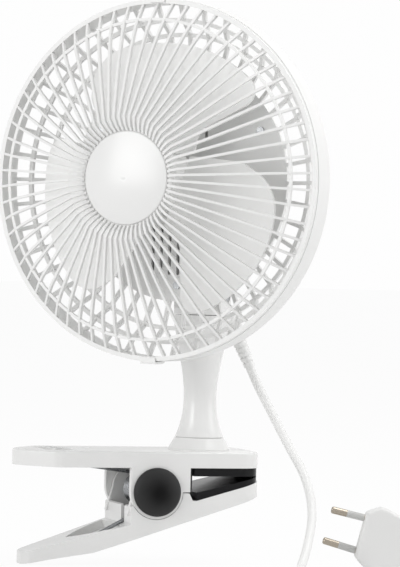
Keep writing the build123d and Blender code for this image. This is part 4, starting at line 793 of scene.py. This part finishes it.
class CLIPFAN_OT_motor(Operator):
    """Finishes the motor's housing and the motor inside it"""

    bl_idname = "clip_fan.motor"
    bl_label = "Motor"

    def execute(self, context):
        finishes = context.scene.clip_fan.finishes
        facing = Vector(joints["blade_spin"]["axis"])
        # ABS, less glossy than the clip's, so the dome's highlight is wide and soft. Its colour is painted
        # whiter than the clip's, as painted light in the shade that the blades cast on it.
        housing = moulded_plastic(
            "satin_abs_housing", finishes.housing, roughness=0.38, grain=0.0028, relief=0.00001
        )
        finish(housing, "motor_housing")
        # Half-millimetre silicon steel sheets, stacked along the shaft: dark grey lines.
        steel = (linear("3E3F42"), linear("77787A"))
        sheets = layered(
            "silicon_steel_laminations", steel, facing, pitch=0.0005, roughness=0.5, metallic=0.85
        )
        finish(sheets, "motor_stator", "motor_rotor")
        # Enamelled wire, wound across the core: copper-brown ridges, with painted shade in the dark grooves
        # between turns.
        copper = (linear("5E2A12"), linear("B5693A"))
        winding = layered("enamelled_copper_wire", copper, up, pitch=0.0006, roughness=0.35, metallic=0.9)
        finish(winding, "motor_coil")
        # Aluminium pressed from sheet: pale and only half bright.
        pressed = worked_metal("pressed_aluminium", linear("B9BABB"), roughness=0.42, stroke=0.0012)
        finish(pressed, "motor_brackets", "motor_spacers")
        # Oil-soaked sintered bronze: dull gold, porous.
        bronze = worked_metal("sintered_bronze", linear("9C7B4F"), roughness=0.5, stroke=0.0006)
        finish(bronze, "motor_bearings")
        return {"FINISHED"}


class CLIPFAN_OT_fasteners(Operator):
    """Finishes the screws, pins, bolt, nut and shaft"""

    bl_idname = "clip_fan.fasteners"
    bl_label = "Fasteners"

    def execute(self, context):
        # Bright zinc plating: cool grey with a soft mottle.
        zinc = worked_metal("zinc_plated_steel", linear("B4B6B8"), roughness=0.34, stroke=0.0011)
        finish(zinc, "cover_screws", "neck_screws", "switch_screws", "housing_screws", "motor_screws")
        finish(zinc, "hinge_pin", "swivel_ring", "tilt_bolt", "tilt_nut")
        # Ground steel: clear, cool reflections.
        ground = worked_metal("ground_steel_shaft", linear("C4C5C6"), roughness=0.2, stroke=0.0005)
        finish(ground, "motor_shaft")
        return {"FINISHED"}


class CLIPFAN_OT_spring(Operator):
    """Winds the clip's torsion spring, with one leg on each jaw"""

    bl_idname = "clip_fan.spring"
    bl_label = "Clip spring"

    def execute(self, context):
        spring = context.scene.clip_fan.spring
        hinge = Vector(joints["clip_hinge"]["pos_m"])
        low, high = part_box("clip_spring")
        upper_end = Vector((SPRING_UPPER_END[0], high.y - spring.wire, SPRING_UPPER_END[1]))
        lower_end = Vector((SPRING_LOWER_END[0], low.y + spring.wire, SPRING_LOWER_END[1]))

        def round_hinge(angle, reach, along):
            """The point at this angle and distance round the hinge, and this far along it."""
            return Vector((hinge.x + reach * cos(angle), along, hinge.z + reach * sin(angle)))

        # Each leg leaves the winding as a tangent, so it leans by this angle from level.
        leans = []
        for end, sign in ((upper_end, 1), (lower_end, -1)):
            reach = hypot(end.x - hinge.x, end.z - hinge.z)
            lift = atan2(sign * (end.z - hinge.z), hinge.x - end.x)
            leans.append(lift - asin(spring.coil / reach))
        start = pi / 2 - leans[0]
        sweep = pi - leans[0] - leans[1] + 2 * pi * spring.turns
        count = 2 * round(sweep / SPRING_STEP)
        step = sweep / count
        points = [upper_end, upper_end.lerp(round_hinge(start, spring.coil, upper_end.y), 0.5)]
        for i in range(count):
            turn = (i + 0.5) * step
            along = upper_end.y + (lower_end.y - upper_end.y) * turn / sweep
            points.append(round_hinge(start - turn, spring.coil / cos(step / 2), along))
        points += [round_hinge(start - sweep, spring.coil, lower_end.y).lerp(lower_end, 0.5), lower_end]
        # Hard-drawn spring wire: bright and smooth.
        wire = worked_metal("drawn_spring_wire", linear("97999B"), roughness=0.28, stroke=0.0008)
        clip_wire = as_mesh(tube("clip_spring_wire", points, spring.wire, wire, resolution=4, sides=3))
        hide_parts("clip_spring")
        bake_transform(clip_wire)
        return {"FINISHED"}


# ---------------------------------------------------------------- panel and registration

# The operators that build the picture, in order.
BUILDERS = (
    CLIPFAN_OT_camera,
    CLIPFAN_OT_stage,
    CLIPFAN_OT_cord,
    CLIPFAN_OT_plug,
    CLIPFAN_OT_clip,
    CLIPFAN_OT_buttons,
    CLIPFAN_OT_neck,
    CLIPFAN_OT_guard,
    CLIPFAN_OT_blades,
    CLIPFAN_OT_motor,
    CLIPFAN_OT_fasteners,
    CLIPFAN_OT_spring,
)


class CLIPFAN_PT_sidebar(Panel):
    """Lists the fan's settings and the operators that build it"""

    bl_label = "Clip Fan"
    bl_idname = "CLIPFAN_PT_sidebar"
    bl_space_type = "VIEW_3D"
    bl_region_type = "UI"
    bl_category = "Clip Fan"

    def draw(self, context):
        look = context.scene.clip_fan
        for group in (look.finishes, look.cord, look.spring, look.studio):
            box = self.layout.box()
            for name in group.__annotations__:
                box.prop(group, name)
        for operator in BUILDERS:
            self.layout.operator(operator.bl_idname)


CLASSES = (
    ClipFanFinishes,
    ClipFanCord,
    ClipFanSpring,
    ClipFanStudio,
    ClipFanLook,
    *BUILDERS,
    CLIPFAN_PT_sidebar,
)


def register():
    """Registers every class and hangs the settings on the scene."""
    for cls in CLASSES:
        bpy.utils.register_class(cls)
    bpy.types.Scene.clip_fan = PointerProperty(type=ClipFanLook)


def unregister():
    """Takes everything out again."""
    del bpy.types.Scene.clip_fan
    for cls in reversed(CLASSES):
        bpy.utils.unregister_class(cls)


def main():
    """Builds the whole picture."""
    register()
    bpy.ops.clip_fan.camera()
    bpy.ops.clip_fan.stage()
    bpy.ops.clip_fan.cord()
    bpy.ops.clip_fan.plug()
    bpy.ops.clip_fan.clip()
    bpy.ops.clip_fan.buttons()
    bpy.ops.clip_fan.neck()
    bpy.ops.clip_fan.guard()
    bpy.ops.clip_fan.blades()
    bpy.ops.clip_fan.motor()
    bpy.ops.clip_fan.fasteners()
    bpy.ops.clip_fan.spring()


if __name__ == "__main__":
    main()
